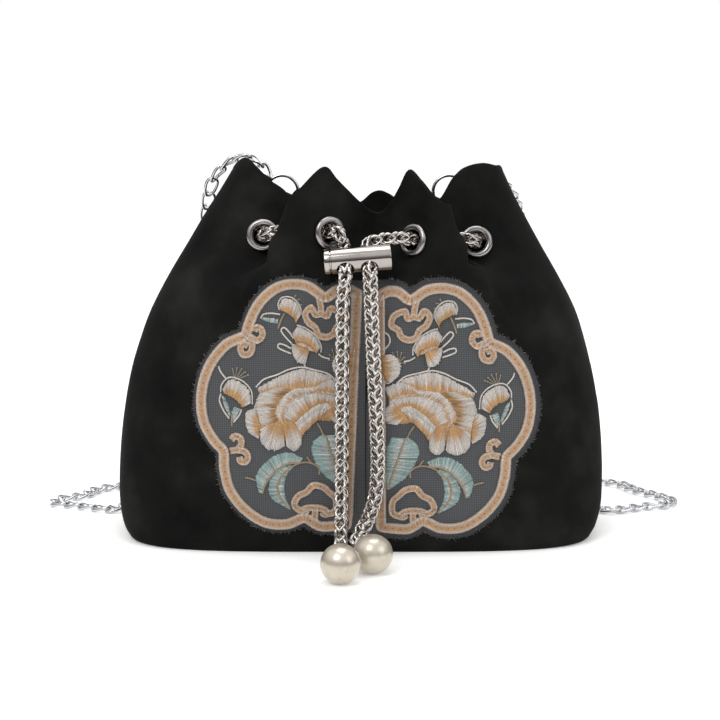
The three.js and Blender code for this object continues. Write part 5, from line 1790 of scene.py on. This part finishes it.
@dataclass
class Studio:
    """Camera at the photograph's angle, a pale floor and soft light."""

    distance: float = 0.9
    eye_height: float = 0.215
    pitch: float = 8.65
    lens: float = 98.35
    floor_size: float = 6.0

    def build(self) -> None:
        """Makes the camera, the floor, the lights and the world."""
        scene = bpy.context.scene
        scene.view_settings.view_transform = "Standard"
        camera = bpy.data.objects.new("camera", bpy.data.cameras.new("camera"))
        camera.data.lens, camera.data.sensor_width = self.lens, 36.0
        camera.location = (0, -self.distance, self.eye_height)
        camera.rotation_euler = (radians(90 - self.pitch), 0, 0)
        scene.collection.objects.link(camera)
        scene.camera = camera
        self.build_floor()
        for light in LIGHTS:
            self.area_light(*light)
        self.build_world()

    def build_floor(self) -> None:
        """A matt pale floor."""
        half = self.floor_size / 2
        mesh = bpy.data.meshes.new("floor")
        corners = [(-half, -half, 0), (half, -half, 0), (half, half, 0), (-half, half, 0)]
        mesh.from_pydata(corners, [], [(0, 1, 2, 3)])
        floor = bpy.data.objects.new("floor", mesh)
        bpy.context.scene.collection.objects.link(floor)
        mesh.materials.append(Finish("matt_studio_paper", ("#F3F3F2", "#F7F7F6"), (0.8, 0.9), grain_mm=2,
                                     cloud_mm=200, grain_depth_mm=0.01, glow=0.22).build())

    @staticmethod
    def area_light(name: str, place: tuple[float, float, float], target: tuple[float, float, float],
                   size: float, power: float) -> None:
        """A square soft light that looks at a target."""
        lamp = bpy.data.objects.new(name, bpy.data.lights.new(name, "AREA"))
        lamp.data.size, lamp.data.energy = size, power
        lamp.location = place
        way = lamp.location.copy()
        way.xyz = [t - p for t, p in zip(target, place)]
        lamp.rotation_euler = way.to_track_quat("-Z", "Y").to_euler()
        bpy.context.scene.collection.objects.link(lamp)

    @staticmethod
    def build_world() -> None:
        """White behind the object, and a studio that darkens towards the horizon for what metal reflects."""
        world = bpy.data.worlds.new("studio")
        bpy.context.scene.world = world
        world.use_nodes = True
        tree = world.node_tree
        tree.nodes.clear()
        way = add_node(tree, "ShaderNodeTexCoord").outputs["Generated"]
        up = add_node(tree, "ShaderNodeSeparateXYZ", {0: way}).outputs["Z"]
        raised = add_node(tree, "ShaderNodeMapRange", {
            "Value": up, "From Min": -0.2, "From Max": 0.9}).outputs[0]
        stops = ((0.0, "#8A8886"), (0.18, "#3A3938"), (0.45, "#8A8A8A"), (0.68, "#F0F0F0"))
        walls = add_node(tree, "ShaderNodeValToRGB", {0: raised}, stops=stops).outputs["Color"]
        around = add_node(tree, "ShaderNodeBackground", {"Color": walls, "Strength": 1.2})
        behind = add_node(tree, "ShaderNodeBackground", {"Color": rgba("#FFFFFF"), "Strength": 1.0})
        seen = add_node(tree, "ShaderNodeLightPath").outputs["Is Camera Ray"]
        mixed = add_node(tree, "ShaderNodeMixShader", {0: seen, 1: around.outputs[0], 2: behind.outputs[0]})
        add_node(tree, "ShaderNodeOutputWorld", {"Surface": mixed.outputs[0]})


def main() -> None:
    """Builds the studio and every piece of the bag in order."""
    Studio().build()
    materials = Materials()
    cloth = BagCloth()
    cloth.build(materials)
    Eyelets().build(cloth, materials)
    lock, pearls = Lock(), Pearls()
    lock.build(materials)
    pearls.build(materials)
    log.info("drawstring length %.0f mm", WheatChain().build(cloth, lock, pearls, materials))
    log.info("strap length %.0f mm", Strap().build(materials))
    face = FrontFace(cloth)
    for name, side, drop, tilt, margin in (("left", -1, 0.0, 0.0, 1.3), ("right", 1, 2.0, -2.0, 2.3)):
        Medallion(name, side, drop, tilt, margin).build(face, materials)


if __name__ == "__main__":
    main()
